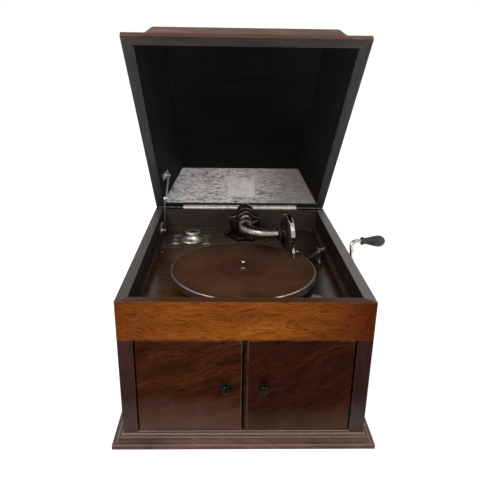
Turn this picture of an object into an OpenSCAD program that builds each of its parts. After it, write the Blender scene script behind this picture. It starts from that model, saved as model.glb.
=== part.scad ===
// Tabletop gramophone with a closed horn in the case, a folding lid and two front doors.
// Millimetres. X is to the right, Y to the back, Z up, with the origin at the centre of the base.

/* [Case] */
// Width over the side panels
case_w = 382; // [360:1:400]
// Depth from the front face to the back face
case_d = 475; // [465:1:490]
// Height of the case's rim above the floor
rim_h = 250; // [244:1:262]
// Thickness of the side panels
side_t = 17; // [14:0.5:19]
// Thickness of the front rail, the stiles and the back panel
front_t = 16; // [14:0.5:18]
// Height of the front rail
rail_h = 63; // [55:1:66]
// Width of each front stile
stile_w = 23; // [20:1:26]
// Thickness of the base board
base_t = 22; // [20:0.5:26]
// Depth of the well from the rim down to the boards
well_depth = 45; // [42:0.5:48]
// Thickness of the motor board and the tone arm board
board_t = 12; // [10:0.5:14]
// Seam between the two boards, measured in front of the back face
seam_back = 142; // [136:1:148]
// Width and height of the quarter round bead along the walls of the well
bead = 7; // [4:0.5:7]

/* [Plinth] */
// Height of the plinth moulding
plinth_h = 19.5; // [16:0.5:21]
// How far the plinth stands out from the case
plinth_out = 16.5; // [12:0.5:20]

/* [Doors] */
// Thickness of each door
door_t = 14; // [12:0.5:16]
// How far the doors are set back from the stiles
door_set = 1; // [0:0.5:2]
// Gap between a door and the pieces round it
door_gap = 1.5; // [1:0.25:2.5]
// Width of the slot between the two doors
door_slot = 7; // [5:0.5:9]
// Distance from a door's corner faces to its pin
pin_inset = 4; // [3.5:0.25:5]
// Radius of a door's hinge pins
door_pin_r = 1.5; // [1:0.1:1.8]
// Distance of each knob from the centre line
knob_x = 29; // [24:1:36]
// Height of the knobs above the floor
knob_z = 106.5; // [90:0.5:120]
// Radius of a knob
knob_r = 8.5; // [7:0.5:10]

/* [Lid] */
// Angle at which the lid stands open
lid_open = 49; // [40:1:55]
// Inner height of the lid over its rim
lid_in_h = 66; // [63:0.5:67]
// Outer height of the lid over its rim
lid_out_h = 72; // [71:0.5:78]
// How far the lid's inner walls lean in
lid_lean = 44; // [40:1:48]
// Inset of the crown's flat top
crown_inset = 43; // [41:0.5:48]
// Height of the upright edge along the lid's rim
lid_edge = 8; // [6:0.5:10]
// Radius of the hollow moulding above that edge
cove_r = 23; // [20:0.5:24]
// Gap between the closed lid and the rim
lid_gap = 0.6; // [0.4:0.1:0.8]
// Length of the long hinge
hinge_len = 258; // [220:2:280]
// Radius of the hinge's knuckles
knuckle_r = 2.4; // [2:0.1:2.8]
// Thickness of a hinge leaf
leaf_t = 1; // [0.8:0.1:1.2]

/* [Lid stay] */
// Distance of the stay's lower pivot in front of the back face
stay_back = 64; // [62:0.5:66]
// Height of the stay's lower pivot over the boards
stay_rise = 12; // [12:0.25:13]
// Distance of the stay's upper pivot from the hinge
stay_reach = 100; // [98:0.5:102]
// Length of the lower link between pivots
stay_low_len = 94; // [93:0.5:96]
// Length of the upper link between pivots
stay_up_len = 66; // [65:0.5:68]
// Thickness of each link
link_t = 2; // [1.5:0.1:2.2]

/* [Turntable] */
// Diameter of the turntable
table_d = 254; // [248:1:258]
// Distance of the spindle behind the front face
spindle_back = 168.5; // [165:0.5:172]
// Height of the record mat above the boards
mat_rise = 27.5; // [26:0.5:30]
// Depth of the turntable's rim
table_rim = 13; // [10:0.5:14]
// Thickness of the felt mat
mat_t = 2; // [1.5:0.25:3]
// Radius of the spindle's tip, which takes the record
spindle_r = 3.6; // [3.5:0.05:3.6]
// Height of the spindle's tip over the mat
spindle_tip = 13; // [10:0.5:15]

/* [Motor] */
// Module of the barrel's teeth
barrel_mod = 1.25; // [1.2:0.01:1.3]
// Module of the spindle pinion's teeth
spindle_mod = 1; // [0.98:0.01:1.02]
// Module of the governor wheel's teeth
governor_mod = 1; // [0.98:0.01:1.02]
// Module of the winding teeth
winding_mod = 1.5; // [1.45:0.01:1.55]
// Distance of the barrel to the right of the spindle
barrel_x = 55; // [53:1:57]
// Radius of the barrel's drum
drum_r = 40; // [36:0.5:41]
// Height of the drum
drum_h = 22; // [18:0.5:24]
// Thickness of the motor's plates
plate_t = 4; // [3:0.5:5]
// Height of the motor between its plates
motor_h = 74; // [72:0.5:76]
// Gap between the top plate and the board, filled by rubber washers
washer_t = 3; // [2:0.5:4]

/* [Crank] */
// Distance of the winding shaft behind the front face
crank_back = 205; // [203:0.5:207]
// Depth of the winding shaft below the rim
crank_drop = 91; // [89:0.5:93]
// Length of the crank's arm from shaft to handle
crank_len = 104.5; // [90:0.5:110]
// Angle by which the arm leans back from upright
crank_lean = 25; // [0:1:60]
// Radius of the crank's rod
rod_r = 3.8; // [3:0.1:4.5]
// Length of the wooden handle
grip_len = 46; // [42:1:54]
// Largest radius of the handle
grip_r = 11; // [9.5:0.25:13]

/* [Tone arm] */
// Distance of the tone arm's pivot to the right of the centre
arm_x = 10; // [4:0.5:14]
// Distance of the tone arm's pivot in front of the back face
arm_back = 61; // [58:0.5:64]
// Radius of the tone arm's base flange
flange_r = 37.5; // [36:0.25:38]
// Radius of the collar on that flange
collar_r = 33.5; // [32:0.25:34]
// Height of the collar over the boards
collar_rise = 38; // [34:0.5:40]
// Radius of the sleeve that turns in the collar
sleeve_r = 26.5; // [25:0.25:27]
// Outer radius of the arm's upright root and its dome
arm_root_r = 18.5; // [17.5:0.25:20]
// Height of the dome's centre over the boards
dome_rise = 54.5; // [53:0.5:56]
// Distance from the arm's pivot to the crook's joint
arm_len = 146.5; // [142:0.5:150]
// Outer radius of the arm at the crook's joint
arm_tip_r = 12.5; // [12:0.25:13]
// Height of the crook above the mat
crook_rise = 43; // [42:0.5:44]
// Radius of the crook's bend
crook_bend = 38; // [36:0.5:40]
// Direction of the sound box's face, turned back from the right
box_yaw = 12; // [5:1:14]
// Radius of the sound box
box_r = 35; // [33:0.25:36]
// Angle between the needle and the record
needle_angle = 60; // [57:1:65]

/* [Needle cups] */
// Distance of the cups to the left of the centre
cup_x = 105; // [100:1:110]
// Distance of the open bowl in front of the back face
bowl_back = 92; // [90:1:94]
// Radius of the open bowl's flange
bowl_r = 23; // [20:0.5:24]
// Radius of the used needle cup
used_r = 18; // [16:0.5:19]
// Length of each needle tray
tray_len = 54; // [46:1:58]
// Width of each needle tray
tray_w = 16; // [14:0.5:18]
// Distance of each tray from the middle of the cups
tray_out = 32; // [31:0.5:36]

/* [Hidden] */
$fn = 64;

// Running clearance of a shaft in its bearing
run = 0.05;
// Gap that two pieces keep where they only come close
near = 0.3;
// A length that carries a cut past a face
past = 1;

half_w = case_w / 2;
front_y = -case_d / 2;
back_y = case_d / 2;
in_x = half_w - side_t;
in_front = front_y + front_t;
in_back = back_y - front_t;
board_z = rim_h - well_depth;
board_under = board_z - board_t;
seam_y = back_y - seam_back;
rail_z = rim_h - rail_h;
open_x = half_w - stile_w;
arm_y = back_y - arm_back;
crank_z = rim_h - crank_drop;
top_plate_z = board_under - washer_t - plate_t;
bottom_plate_z = top_plate_z - motor_h - plate_t;

// Colours as the piece shows them
oak_light = "#8a5222";
oak_dark = "#3c2620";
oak_door = "#4a281c";
board_brown = "#3a2219";
nickel = "#b9b6ae";
japan_black = "#161514";
steel = "#85858a";
brass = "#a98b4a";
felt = "#4a2c24";
pine = "#9c7a50";
mica = "#b8b4a4";

// A mitred plan of a panel that runs along X at the front or along Y at a side
module mitred_side(x_out, x_in, y_front, y_front_in, y_back, y_back_in, z_low, h)
  translate([0, 0, z_low])
    linear_extrude(height = h)
      polygon([[x_out, y_front], [x_out, y_back], [x_in, y_back_in], [x_in, y_front_in]]);

// Case

// Bore in the right panel for the winding shaft
panel_bore_r = 8;
crank_y = front_y + crank_back;

module side_panel()
  mitred_side(half_w, in_x, front_y, in_front, back_y, in_back, 0, rim_h);

module left_side_panel()
  color(oak_dark)
    mirror([1, 0, 0])
      side_panel();

module right_side_panel()
  color(oak_dark)
    difference() {
      side_panel();
      translate([in_x - past, crank_y, crank_z])
        rotate([0, 90, 0])
          cylinder(r = panel_bore_r, h = side_t + 2 * past);
    }

module back_panel()
  color(oak_dark)
    difference() {
      linear_extrude(height = rim_h)
        polygon([[-half_w, back_y], [half_w, back_y], [in_x, in_back], [-in_x, in_back]]);
      hinge_recess(0);
    }

module front_rail()
  color(oak_light)
    difference() {
      translate([0, 0, rail_z])
        linear_extrude(height = rail_h)
          polygon([[-half_w, front_y], [half_w, front_y], [in_x, in_front], [-in_x, in_front]]);
      for (side = [-1, 1])
        translate([side * door_pin_x, door_pin_y, rail_z - past])
          cylinder(r = door_pin_r, h = door_pin_seat + past);
    }

module stiles()
  color(oak_dark)
    for (side = [0, 1])
      mirror([side, 0, 0])
        linear_extrude(height = rail_z)
          polygon([
            [open_x, front_y], [half_w, front_y], [in_x, in_front], [open_x, in_front]
          ]);

module base_board()
  color(oak_dark)
    difference() {
      union() {
        translate([-in_x, in_front, 0])
          cube([2 * in_x, in_back - in_front, base_t]);
        translate([-open_x, front_y, 0])
          cube([2 * open_x, front_t, base_t]);
      }
      for (side = [-1, 1])
        translate([side * door_pin_x, door_pin_y, base_t - door_pin_seat])
          cylinder(r = door_pin_r, h = door_pin_seat + past);
    }

// Section of the plinth, drawn outward from the case
plinth_foot = 7.5;
plinth_ledge = 2.5;
module plinth_section() {
  cove_r = plinth_h - plinth_foot - 2 * plinth_ledge - 1;
  cove_x = plinth_out - plinth_ledge;
  cove_z = plinth_foot + 1 + cove_r;
  difference() {
    polygon([
      [0, 0], [plinth_out, 0], [plinth_out, plinth_foot], [plinth_out - 1, plinth_foot + 1],
      [cove_x, plinth_foot + 1], [cove_x - cove_r, cove_z], [cove_x - cove_r, cove_z + 1.5],
      [cove_x - cove_r - 1, plinth_h - plinth_ledge], [plinth_ledge, plinth_h - plinth_ledge],
      [plinth_ledge, plinth_h], [0, plinth_h]
    ]);
    translate([cove_x, cove_z])
      circle(r = cove_r);
  }
}

module plinth_run(length)
  rotate([90, 0, 0])
    linear_extrude(height = length, center = true)
      plinth_section();

module plinth() {
  wide = half_w + plinth_out;
  deep = -front_y + plinth_out;
  color(oak_dark) {
    intersection() {
      translate([0, front_y, 0])
        rotate([0, 0, -90])
          plinth_run(2 * wide);
      linear_extrude(height = plinth_h)
        polygon([[-wide, -deep], [wide, -deep], [half_w, front_y], [-half_w, front_y]]);
    }
    for (side = [0, 1])
      mirror([side, 0, 0])
        intersection() {
          translate([half_w, 0, 0])
            plinth_run(2 * deep);
          linear_extrude(height = plinth_h)
            polygon([[half_w, front_y], [wide, -deep], [wide, back_y], [half_w, back_y]]);
        }
  }
}

module motor_board()
  color(board_brown)
    difference() {
      translate([-in_x, in_front, board_under])
        cube([2 * in_x, seam_y - board_seam / 2 - in_front, board_t]);
      translate([0, spindle_y, board_under - past])
        cylinder(r = spindle_hole_r, h = board_t + 2 * past);
      at_motor_bolts(board_under - past)
        cylinder(r = bolt_r, h = board_t + 2 * past);
      translate([dial_x, dial_y, board_under - past])
        cylinder(r = regulator_r + run, h = board_t + 2 * past);
      at_front_screws(board_z - screw_len)
        cylinder(r = screw_r, h = screw_len + past);
    }
board_seam = 0.6;
spindle_hole_r = 14;
spindle_y = front_y + spindle_back;

module tonearm_board()
  color(board_brown)
    difference() {
      translate([-in_x, seam_y + board_seam / 2, board_under])
        cube([2 * in_x, in_back - seam_y - board_seam / 2, board_t]);
      translate([arm_x, arm_y, board_under - past])
        cylinder(r = throat_r, h = board_t + 2 * past);
      translate([-cup_x, bowl_y, board_under - past])
        cylinder(r = bowl_in_r + cup_wall, h = board_t + 2 * past);
      translate([-cup_x, used_y, board_under - past])
        cylinder(r = used_r - 1, h = board_t + 2 * past);
      for (side = [-1, 1])
        translate([side * tray_out - cup_x - tray_w / 2, bowl_y - tray_len / 2, board_z - tray_deep])
          cube([tray_w, tray_len, tray_deep + past]);
      at_rear_screws(board_z - screw_len)
        cylinder(r = screw_r, h = screw_len + past);
    }

// Battens under the edges of the boards
cleat_w = 20;
cleat_h = 12;
module board_cleats()
  color(pine)
    difference() {
      for (side = [0, 1])
        mirror([side, 0, 0])
          translate([in_x - cleat_w, in_front + cleat_w, board_under - cleat_h])
            cube([cleat_w, in_back - in_front - cleat_w, cleat_h]);
      at_front_screws(board_z - screw_len)
        cylinder(r = screw_r, h = screw_len);
      at_rear_screws(board_z - screw_len)
        cylinder(r = screw_r, h = screw_len);
    }

// Quarter round strips that hide the joint of boards and walls
module bead_run(length)
  rotate([90, 0, 0])
    linear_extrude(height = length, center = true)
      intersection() {
        circle(r = bead);
        square(bead);
      }

module well_beading() {
  mid_y = (in_front + in_back) / 2;
  long = in_back - in_front;
  color(board_brown) {
    for (side = [0, 1])
      mirror([side, 0, 0])
        intersection() {
          translate([-in_x, mid_y, board_z])
            bead_run(long);
          linear_extrude(height = rim_h)
            polygon([
              [-in_x, in_front], [-in_x, in_back],
              [-in_x + bead, in_back - bead], [-in_x + bead, in_front + bead]
            ]);
        }
    for (turn = [0, 1])
      translate([0, mid_y, 0])
        mirror([0, turn, 0])
          intersection() {
            translate([0, -long / 2, board_z])
              rotate([0, 0, 90])
                bead_run(2 * in_x);
            linear_extrude(height = rim_h)
              polygon([
                [-in_x, -long / 2], [in_x, -long / 2],
                [in_x - bead, -long / 2 + bead], [-in_x + bead, -long / 2 + bead]
              ]);
          }
  }
}

// Horn

horn_t = 8;
mouth_x = open_x - horn_t;
neck_half = 30;
throat_r = 21;
throat_wall = 4;
elbow_bend = 38;
elbow_flange = 3;
elbow_z = base_t + throat_r + throat_wall + 1;
neck_y = arm_y - elbow_bend - elbow_flange - horn_t;
knee_back = 125;
knee_y = front_y + knee_back;
knee_z = bottom_plate_z - 8 - horn_t;
neck_z = elbow_z + throat_r + 3;
mouth_top = rail_z - 9.5;

module horn_roof()
  color(pine)
    rotate([90, 0, 90])
      linear_extrude(height = 2 * in_x, center = true)
        polygon([
          [in_front, rail_z], [in_front, mouth_top], [knee_y - 3, knee_z],
          [neck_y, neck_z], [neck_y, neck_z + horn_t], [knee_y, knee_z + horn_t]
        ]);

// A slanting side board whose top edge follows the roof
module horn_side(side) {
  end_x = arm_x + side * neck_half;
  lean = atan2(side * mouth_x - end_x, neck_y - in_front);
  long = (neck_y - in_front) / cos(lean);
  intersection() {
    translate([side * mouth_x, in_front, base_t])
      rotate([0, 0, lean])
        translate([side > 0 ? 0 : -horn_t, -horn_t, 0])
          cube([horn_t, long + 2 * horn_t, mouth_top - base_t]);
    rotate([90, 0, 90])
      linear_extrude(height = 2 * in_x, center = true)
        polygon([
          [in_front, base_t], [in_front, mouth_top - run], [knee_y - 3, knee_z - run],
          [neck_y, neck_z - run], [neck_y, base_t]
        ]);
  }
}

module horn_sides()
  color(pine) {
    horn_side(-1);
    horn_side(1);
    translate([arm_x, neck_y, 0])
      difference() {
        translate([-neck_half - horn_t, 0, base_t])
          cube([2 * (neck_half + horn_t), horn_t, neck_z + horn_t - base_t]);
        translate([0, -past, elbow_z])
          rotate([-90, 0, 0])
            cylinder(r = throat_r, h = horn_t + 2 * past);
      }
  }

// The bent bore of the elbow, or its outside, with its upright end at the origin
module elbow(r, rise, extra) {
  cylinder(r = r, h = rise + extra);
  translate([0, -elbow_bend, 0])
    rotate([0, 90, 0])
      rotate_extrude(angle = 90)
        translate([elbow_bend, 0])
          circle(r = r);
  translate([0, -elbow_bend - elbow_flange - extra, -elbow_bend])
    rotate([-90, 0, 0])
      cylinder(r = r, h = elbow_flange + extra);
}

module horn_throat() {
  outer = throat_r + throat_wall;
  rise = board_under - elbow_z - elbow_bend;
  color(japan_black)
    translate([arm_x, arm_y, elbow_z + elbow_bend])
      difference() {
        union() {
          elbow(outer, rise, 0);
          translate([0, 0, rise - throat_wall])
            cylinder(r = outer + 9, h = throat_wall);
          translate([0, -elbow_bend - elbow_flange, -elbow_bend])
            rotate([-90, 0, 0])
              cylinder(r = outer + 6, h = elbow_flange);
        }
        elbow(throat_r, rise, past);
        translate([-outer - 10, -elbow_bend - elbow_flange - past, base_t + near - elbow_z - elbow_bend - outer])
          cube([2 * outer + 20, elbow_flange + 2 * past, outer]);
      }
}

// Fixings

screw_r = 2;
screw_head_r = 4;
screw_len = 20;
bolt_r = 2.5;
screw_x = in_x - 13;
module at_front_screws(z)
  for (side = [-1, 1])
    for (y = [in_front + 30, seam_y - 24])
      translate([side * screw_x, y, z])
        children();
module at_rear_screws(z)
  for (side = [-1, 1])
    for (y = [seam_y + 5, in_back - 12])
      translate([side * screw_x, y, z])
        children();
module at_motor_bolts(z)
  for (p = pillar_at)
    translate([p[0], p[1], z])
      children();

module wood_screw()
  difference() {
    union() {
      cylinder(r = screw_r, h = screw_len);
      intersection() {
        translate([0, 0, screw_len])
          cylinder(r = screw_head_r, h = 2);
        translate([0, 0, screw_len + 2 - 5])
          sphere(r = 5);
      }
    }
    translate([-screw_head_r, -0.5, screw_len + 1])
      cube([2 * screw_head_r, 1, past + 1]);
  }

module motor_bolt(long) {
  cylinder(r = bolt_r, h = long);
  translate([0, 0, long])
    cylinder(r = 5, h = 2.5);
  difference() {
    translate([0, 0, plate_t])
      cylinder(r = 8, h = washer_t);
    translate([0, 0, plate_t - past])
      cylinder(r = bolt_r, h = washer_t + 2 * past);
  }
}

module board_fixings()
  color(nickel) {
    at_front_screws(board_z - screw_len)
      wood_screw();
    at_rear_screws(board_z - screw_len)
      wood_screw();
    at_motor_bolts(top_plate_z)
      motor_bolt(board_z - top_plate_z);
  }

// Needle cups and trays

bowl_y = back_y - bowl_back;
bowl_in_r = bowl_r - 4;
cup_wall = 1;
bowl_deep = 11;
used_y = bowl_y + bowl_r + used_r + 0.5;
used_h = 6;
tray_deep = 10;

module needle_cups()
  color(nickel) {
    translate([-cup_x, bowl_y, board_z])
      difference() {
        union() {
          rotate_extrude()
            polygon([[0, 0], [bowl_r, 0], [bowl_r - 1, 1.5], [0, 1.5]]);
          translate([0, 0, -bowl_deep])
            cylinder(r = bowl_in_r + cup_wall, h = bowl_deep);
        }
        translate([0, 0, 18 - bowl_deep + cup_wall])
          sphere(r = 18);
        translate([0, 0, -1.5])
          cylinder(r1 = 14, r2 = bowl_in_r, h = 3 + past);
      }
    translate([-cup_x, used_y, board_z]) {
      difference() {
        union() {
          translate([0, 0, -bowl_deep])
            cylinder(r = used_r - 1, h = bowl_deep);
          rotate_extrude()
            polygon([[0, 0], [used_r, 0], [used_r, used_h - 2], [used_r - 2, used_h], [0, used_h]]);
        }
        translate([0, 0, -bowl_deep + cup_wall])
          cylinder(r = used_r - 3, h = bowl_deep + used_h);
      }
      difference() {
        translate([0, 0, used_h - 3])
          rotate_extrude()
            polygon([[0, 0], [used_r - 3, 0], [used_r - 3, 3], [9, 2], [7, 1], [0, 1]]);
        translate([-3.5, -1.25, 0])
          cube([7, 2.5, used_h + past]);
      }
    }
  }

module needle_trays()
  color(nickel)
    for (side = [-1, 1])
      translate([side * tray_out - cup_x, bowl_y, board_z]) {
        difference() {
          translate([-tray_w / 2, -tray_len / 2, -tray_deep])
            cube([tray_w, tray_len, tray_deep + 1]);
          translate([-tray_w / 2 + 1, -tray_len / 2 + 1, -tray_deep + 1])
            cube([tray_w - 2, tray_len - 2, tray_deep + past]);
        }
        translate([-3, -tray_len / 2 + 1, -tray_deep + 1])
          cube([6, 1.2, tray_deep + 2]);
      }

// Turntable

table_r = table_d / 2;
mat_z = board_z + mat_rise;
rim_low = mat_z - table_rim;
web_t = 2;
hub_r = 18;
hub_low = board_z + 7;
shaft_r = 5;

module platter()
  color(nickel)
    translate([0, spindle_y, 0])
      rotate_extrude($fn = 96)
        polygon([
          [shaft_r, hub_low], [hub_r, hub_low], [hub_r, mat_z - mat_t - web_t - 4],
          [hub_r + 4, mat_z - mat_t - web_t], [table_r - 5, mat_z - mat_t - web_t],
          [table_r - 2.5, rim_low + 3], [table_r - 2.5, rim_low], [table_r - 0.8, rim_low],
          [table_r, rim_low + 0.8], [table_r, mat_z - 1.5], [table_r - 1, mat_z],
          [table_r - 3, mat_z], [table_r - 3, mat_z - mat_t], [shaft_r, mat_z - mat_t]
        ]);

module felt_mat()
  color(felt)
    translate([0, spindle_y, mat_z - mat_t])
      difference() {
        cylinder(r = table_r - 3, h = mat_t, $fn = 96);
        translate([0, 0, -past])
          cylinder(r = shaft_r, h = mat_t + 2 * past);
      }

// Motor

dial_x = 113;
dial_y = front_y + 98;
dial_r = 19;
regulator_r = 3;
barrel_teeth = 72;
idler_pinion_teeth = 12;
idler_teeth = 60;
spindle_teeth = 12;
governor_wheel_teeth = 60;
governor_teeth = 12;
crown_teeth = 36;
winding_teeth = 12;
play = 0.15;

barrel_at = [barrel_x, crank_y];
spindle_at = [0, spindle_y];
idler_from_barrel = barrel_mod * (barrel_teeth + idler_pinion_teeth) / 2 + play;
idler_from_spindle = spindle_mod * (idler_teeth + spindle_teeth) / 2 + play;
barrel_gap = norm(spindle_at - barrel_at);
barrel_dir = atan2(spindle_at[1] - barrel_at[1], spindle_at[0] - barrel_at[0]);
idler_bend = acos(
  (pow(idler_from_barrel, 2) + pow(barrel_gap, 2) - pow(idler_from_spindle, 2))
  / (2 * idler_from_barrel * barrel_gap)
);
idler_dir = barrel_dir - idler_bend;
idler_at = barrel_at + idler_from_barrel * [cos(idler_dir), sin(idler_dir)];
idler_to_spindle = atan2(spindle_at[1] - idler_at[1], spindle_at[0] - idler_at[0]);
governor_dir = 200;
governor_gap = governor_mod * (governor_wheel_teeth + governor_teeth) / 2 + play;
governor_at = spindle_at + governor_gap * [cos(governor_dir), sin(governor_dir)];
pillar_at = [
  spindle_at + [-66, -24], spindle_at + [-30, 62],
  barrel_at + [40, -58], barrel_at + [46, 36]
];

// Levels of the wheels over the bottom plate's underside
drum_z = bottom_plate_z + plate_t + 1.5;
barrel_gear_z = drum_z + drum_h;
gear_t = 6;
crown_face = 3;
crown_z = crank_z - winding_mod * (winding_teeth / 2 + 1.25) - crown_face;
idler_z = crown_z + 12;
governor_wheel_z = idler_z + 11;
arbor_r = 4;
idler_r = 2.5;
governor_r = 2;

// A spur gear with straight sided teeth and open tips
module spur(teeth, mod, thick, phase, bore) {
  pitch_r = teeth * mod / 2;
  root_r = pitch_r - 1.2 * mod;
  tip_r = pitch_r + 0.85 * mod;
  step = 360 / teeth;
  root_half = 0.29 * step;
  tip_half = 0.10 * step;
  difference() {
    linear_extrude(height = thick)
      polygon([
        for (i = [0 : teeth - 1])
          for (corner = [[root_r, -root_half], [tip_r, -tip_half], [tip_r, tip_half], [root_r, root_half]])
            corner[0] * [cos(phase + i * step + corner[1]), sin(phase + i * step + corner[1])]
      ]);
    translate([0, 0, -past])
      cylinder(r = bore, h = thick + 2 * past);
  }
}

module spring_barrel()
  color(brass)
    translate([barrel_at[0], barrel_at[1], 0])
      difference() {
        union() {
          translate([0, 0, drum_z])
            cylinder(r = drum_r, h = drum_h);
          translate([0, 0, barrel_gear_z])
            spur(barrel_teeth, barrel_mod, gear_t, idler_dir, arbor_r + run);
        }
        translate([0, 0, drum_z - past])
          cylinder(r = arbor_r + run, h = drum_h + gear_t + 2 * past);
        translate([0, 0, drum_z + 2])
          cylinder(r = drum_r - 2, h = drum_h - 2);
      }

// A flat spiral of spring steel between the arbor and the drum
spring_turns = 6;
spring_steps = 14;
spring_t = 1.2;
function spiral(turn, r_start, r_end) =
  (r_start + (r_end - r_start) * turn / spring_turns) * [cos(360 * turn), sin(360 * turn)];
module mainspring()
  color(steel)
    translate([barrel_at[0], barrel_at[1], drum_z + 3])
      linear_extrude(height = drum_h - 4)
        polygon(concat(
          [for (i = [0 : spring_turns * spring_steps]) spiral(i / spring_steps, arbor_r + 1, drum_r - 4)],
          [for (i = [spring_turns * spring_steps : -1 : 0])
            spiral(i / spring_steps, arbor_r + 1 + spring_t, drum_r - 4 + spring_t)]
        ));

// The crown wheel on the winding arbor
crown_r = winding_mod * crown_teeth / 2;
module winding_wheel()
  color(steel)
    translate([barrel_at[0], barrel_at[1], 0]) {
      translate([0, 0, bottom_plate_z])
        cylinder(r = arbor_r, h = motor_h + 2 * plate_t);
      translate([0, 0, crown_z - 1.8])
        cylinder(r = arbor_r + 4, h = crown_face + 1.8);
      translate([0, 0, crown_z])
        cylinder(r = crown_r + 3, h = crown_face);
      for (i = [0 : crown_teeth - 1])
        rotate([0, 0, i * 360 / crown_teeth])
          translate([crown_r - 3, 0, crown_z + crown_face])
            rotate([90, 0, 90])
              linear_extrude(height = 6)
polygon([
                  [-0.9 * winding_mod, -0.1], [0.9 * winding_mod, -0.1],
                  [0.35 * winding_mod, 2.1 * winding_mod], [-0.35 * winding_mod, 2.1 * winding_mod]
                ]);
    }

module intermediate_gear()
  color(brass)
    translate([idler_at[0], idler_at[1], 0]) {
      translate([0, 0, bottom_plate_z])
        cylinder(r = idler_r, h = motor_h + 2 * plate_t);
      translate([0, 0, barrel_gear_z - 2])
        spur(
          idler_pinion_teeth, barrel_mod, gear_t + 4,
          idler_dir + 180 + 180 / idler_pinion_teeth, idler_r - past
        );
      translate([0, 0, idler_z])
        spur(idler_teeth, spindle_mod, 4, idler_to_spindle, idler_r - past);
    }

module spindle()
  color(steel)
    translate([0, spindle_y, 0]) {
      translate([0, 0, bottom_plate_z])
        cylinder(r = shaft_r - 1, h = idler_z - bottom_plate_z);
      translate([0, 0, idler_z - 1])
        spur(
          spindle_teeth, spindle_mod, 6,
          idler_to_spindle + 180 + 180 / spindle_teeth, past
        );
      translate([0, 0, idler_z - 1])
        cylinder(r = shaft_r - 1, h = 6);
      translate([0, 0, idler_z + 5])
        cylinder(r = shaft_r, h = mat_z - idler_z - 5);
      translate([0, 0, governor_wheel_z])
        spur(governor_wheel_teeth, governor_mod, 3, governor_dir, shaft_r - past);
      translate([0, 0, mat_z])
        cylinder(r = spindle_r, h = spindle_tip - 2);
      translate([0, 0, mat_z + spindle_tip - 2])
        rotate_extrude()
          intersection() {
            translate([0, 2 - spindle_r])
              circle(r = spindle_r);
            square([spindle_r, 2]);
          }
    }

// Governor with three sprung weights, whose sliding collar carries the friction disc
weight_out = 13;
weight_r = 4.5;
disc_r = 14;
disc_z = governor_wheel_z - 20;
module governor() {
  low = bottom_plate_z + plate_t + 3;
  high = disc_z - 4;
  mid = (low + 6 + high) / 2;
  color(brass)
    translate([governor_at[0], governor_at[1], 0]) {
      translate([0, 0, bottom_plate_z])
        cylinder(r = governor_r, h = motor_h + 2 * plate_t);
      translate([0, 0, disc_z])
        cylinder(r = disc_r, h = 2);
      translate([0, 0, low])
        cylinder(r = 5, h = 6);
      translate([0, 0, high])
        cylinder(r = 5, h = 4);
      translate([0, 0, governor_wheel_z - 2])
        spur(
          governor_teeth, governor_mod, 7,
          governor_dir + 180 + 180 / governor_teeth, governor_r - past
        );
      for (i = [0 : 2])
        rotate([0, 0, 60 + i * 120]) {
          translate([weight_out, 0, mid])
            sphere(r = weight_r, $fn = 32);
          rotate([90, 0, 0])
            linear_extrude(height = 4, center = true)
              polygon([
                [4, low + 3], [weight_out - 4, mid - 6], [weight_out - 2, mid],
                [weight_out - 4, mid + 6], [4, high + 3], [4, high + 2],
                [weight_out - 5, mid + 6], [weight_out - 3, mid],
                [weight_out - 5, mid - 6], [4, low + 4]
              ]);
        }
    }
}

// Friction lever: one end presses a pad on the governor's disc, the other is moved by the regulator
lever_pivot = governor_at + [22, -30];
lever_r = 2.5;
pad_r = 3;
pad_dir = -110;
pad_rel = governor_at + (disc_r + near + pad_r) * [cos(pad_dir), sin(pad_dir)] - lever_pivot;
link_run = [dial_x, dial_y] - lever_pivot;
link_dir = atan2(link_run[1], link_run[0]);
regulator_reach = 48;
lever_tail = norm(link_run) - regulator_reach;
link_pin_r = 1.2;
slot_half = 2.4;
module governor_brake()
  color(steel)
    translate([lever_pivot[0], lever_pivot[1], 0]) {
      translate([0, 0, bottom_plate_z])
        cylinder(r = lever_r, h = motor_h + 2 * plate_t);
      translate([0, 0, disc_z])
        linear_extrude(height = 2)
          union() {
            circle(r = 5);
            translate(pad_rel)
              circle(r = pad_r);
            polygon([[0, -3], [0, 3], pad_rel + [0, 2], pad_rel - [0, 2]]);
            rotate(link_dir)
              difference() {
                polygon([
                  [0, -3], [lever_tail - 8, -3], [lever_tail - 6, -slot_half - 2], [lever_tail + 14, -slot_half - 2],
                  [lever_tail + 14, slot_half + 2], [lever_tail - 6, slot_half + 2], [lever_tail - 8, 3], [0, 3]
                ]);
                translate([lever_tail - 4, -slot_half])
                  square([15, 2 * slot_half]);
              }
          }
    }

module plate_outline() {
  corner_r = 12;
  hull()
    for (p = pillar_at)
      translate(p)
        circle(r = corner_r, $fn = 32);
  hull() {
    translate(governor_at)
      circle(r = 12, $fn = 32);
    translate(lever_pivot)
      circle(r = 8, $fn = 32);
    translate(spindle_at)
      circle(r = 30, $fn = 32);
  }
}

module plate_bores(z) {
  bores = [
    [barrel_at, arbor_r + run], [idler_at, idler_r + run],
    [governor_at, governor_r + run], [lever_pivot, lever_r + run]
  ];
  for (b = bores)
    translate([b[0][0], b[0][1], z - past])
      cylinder(r = b[1], h = plate_t + 2 * past);
}

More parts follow.
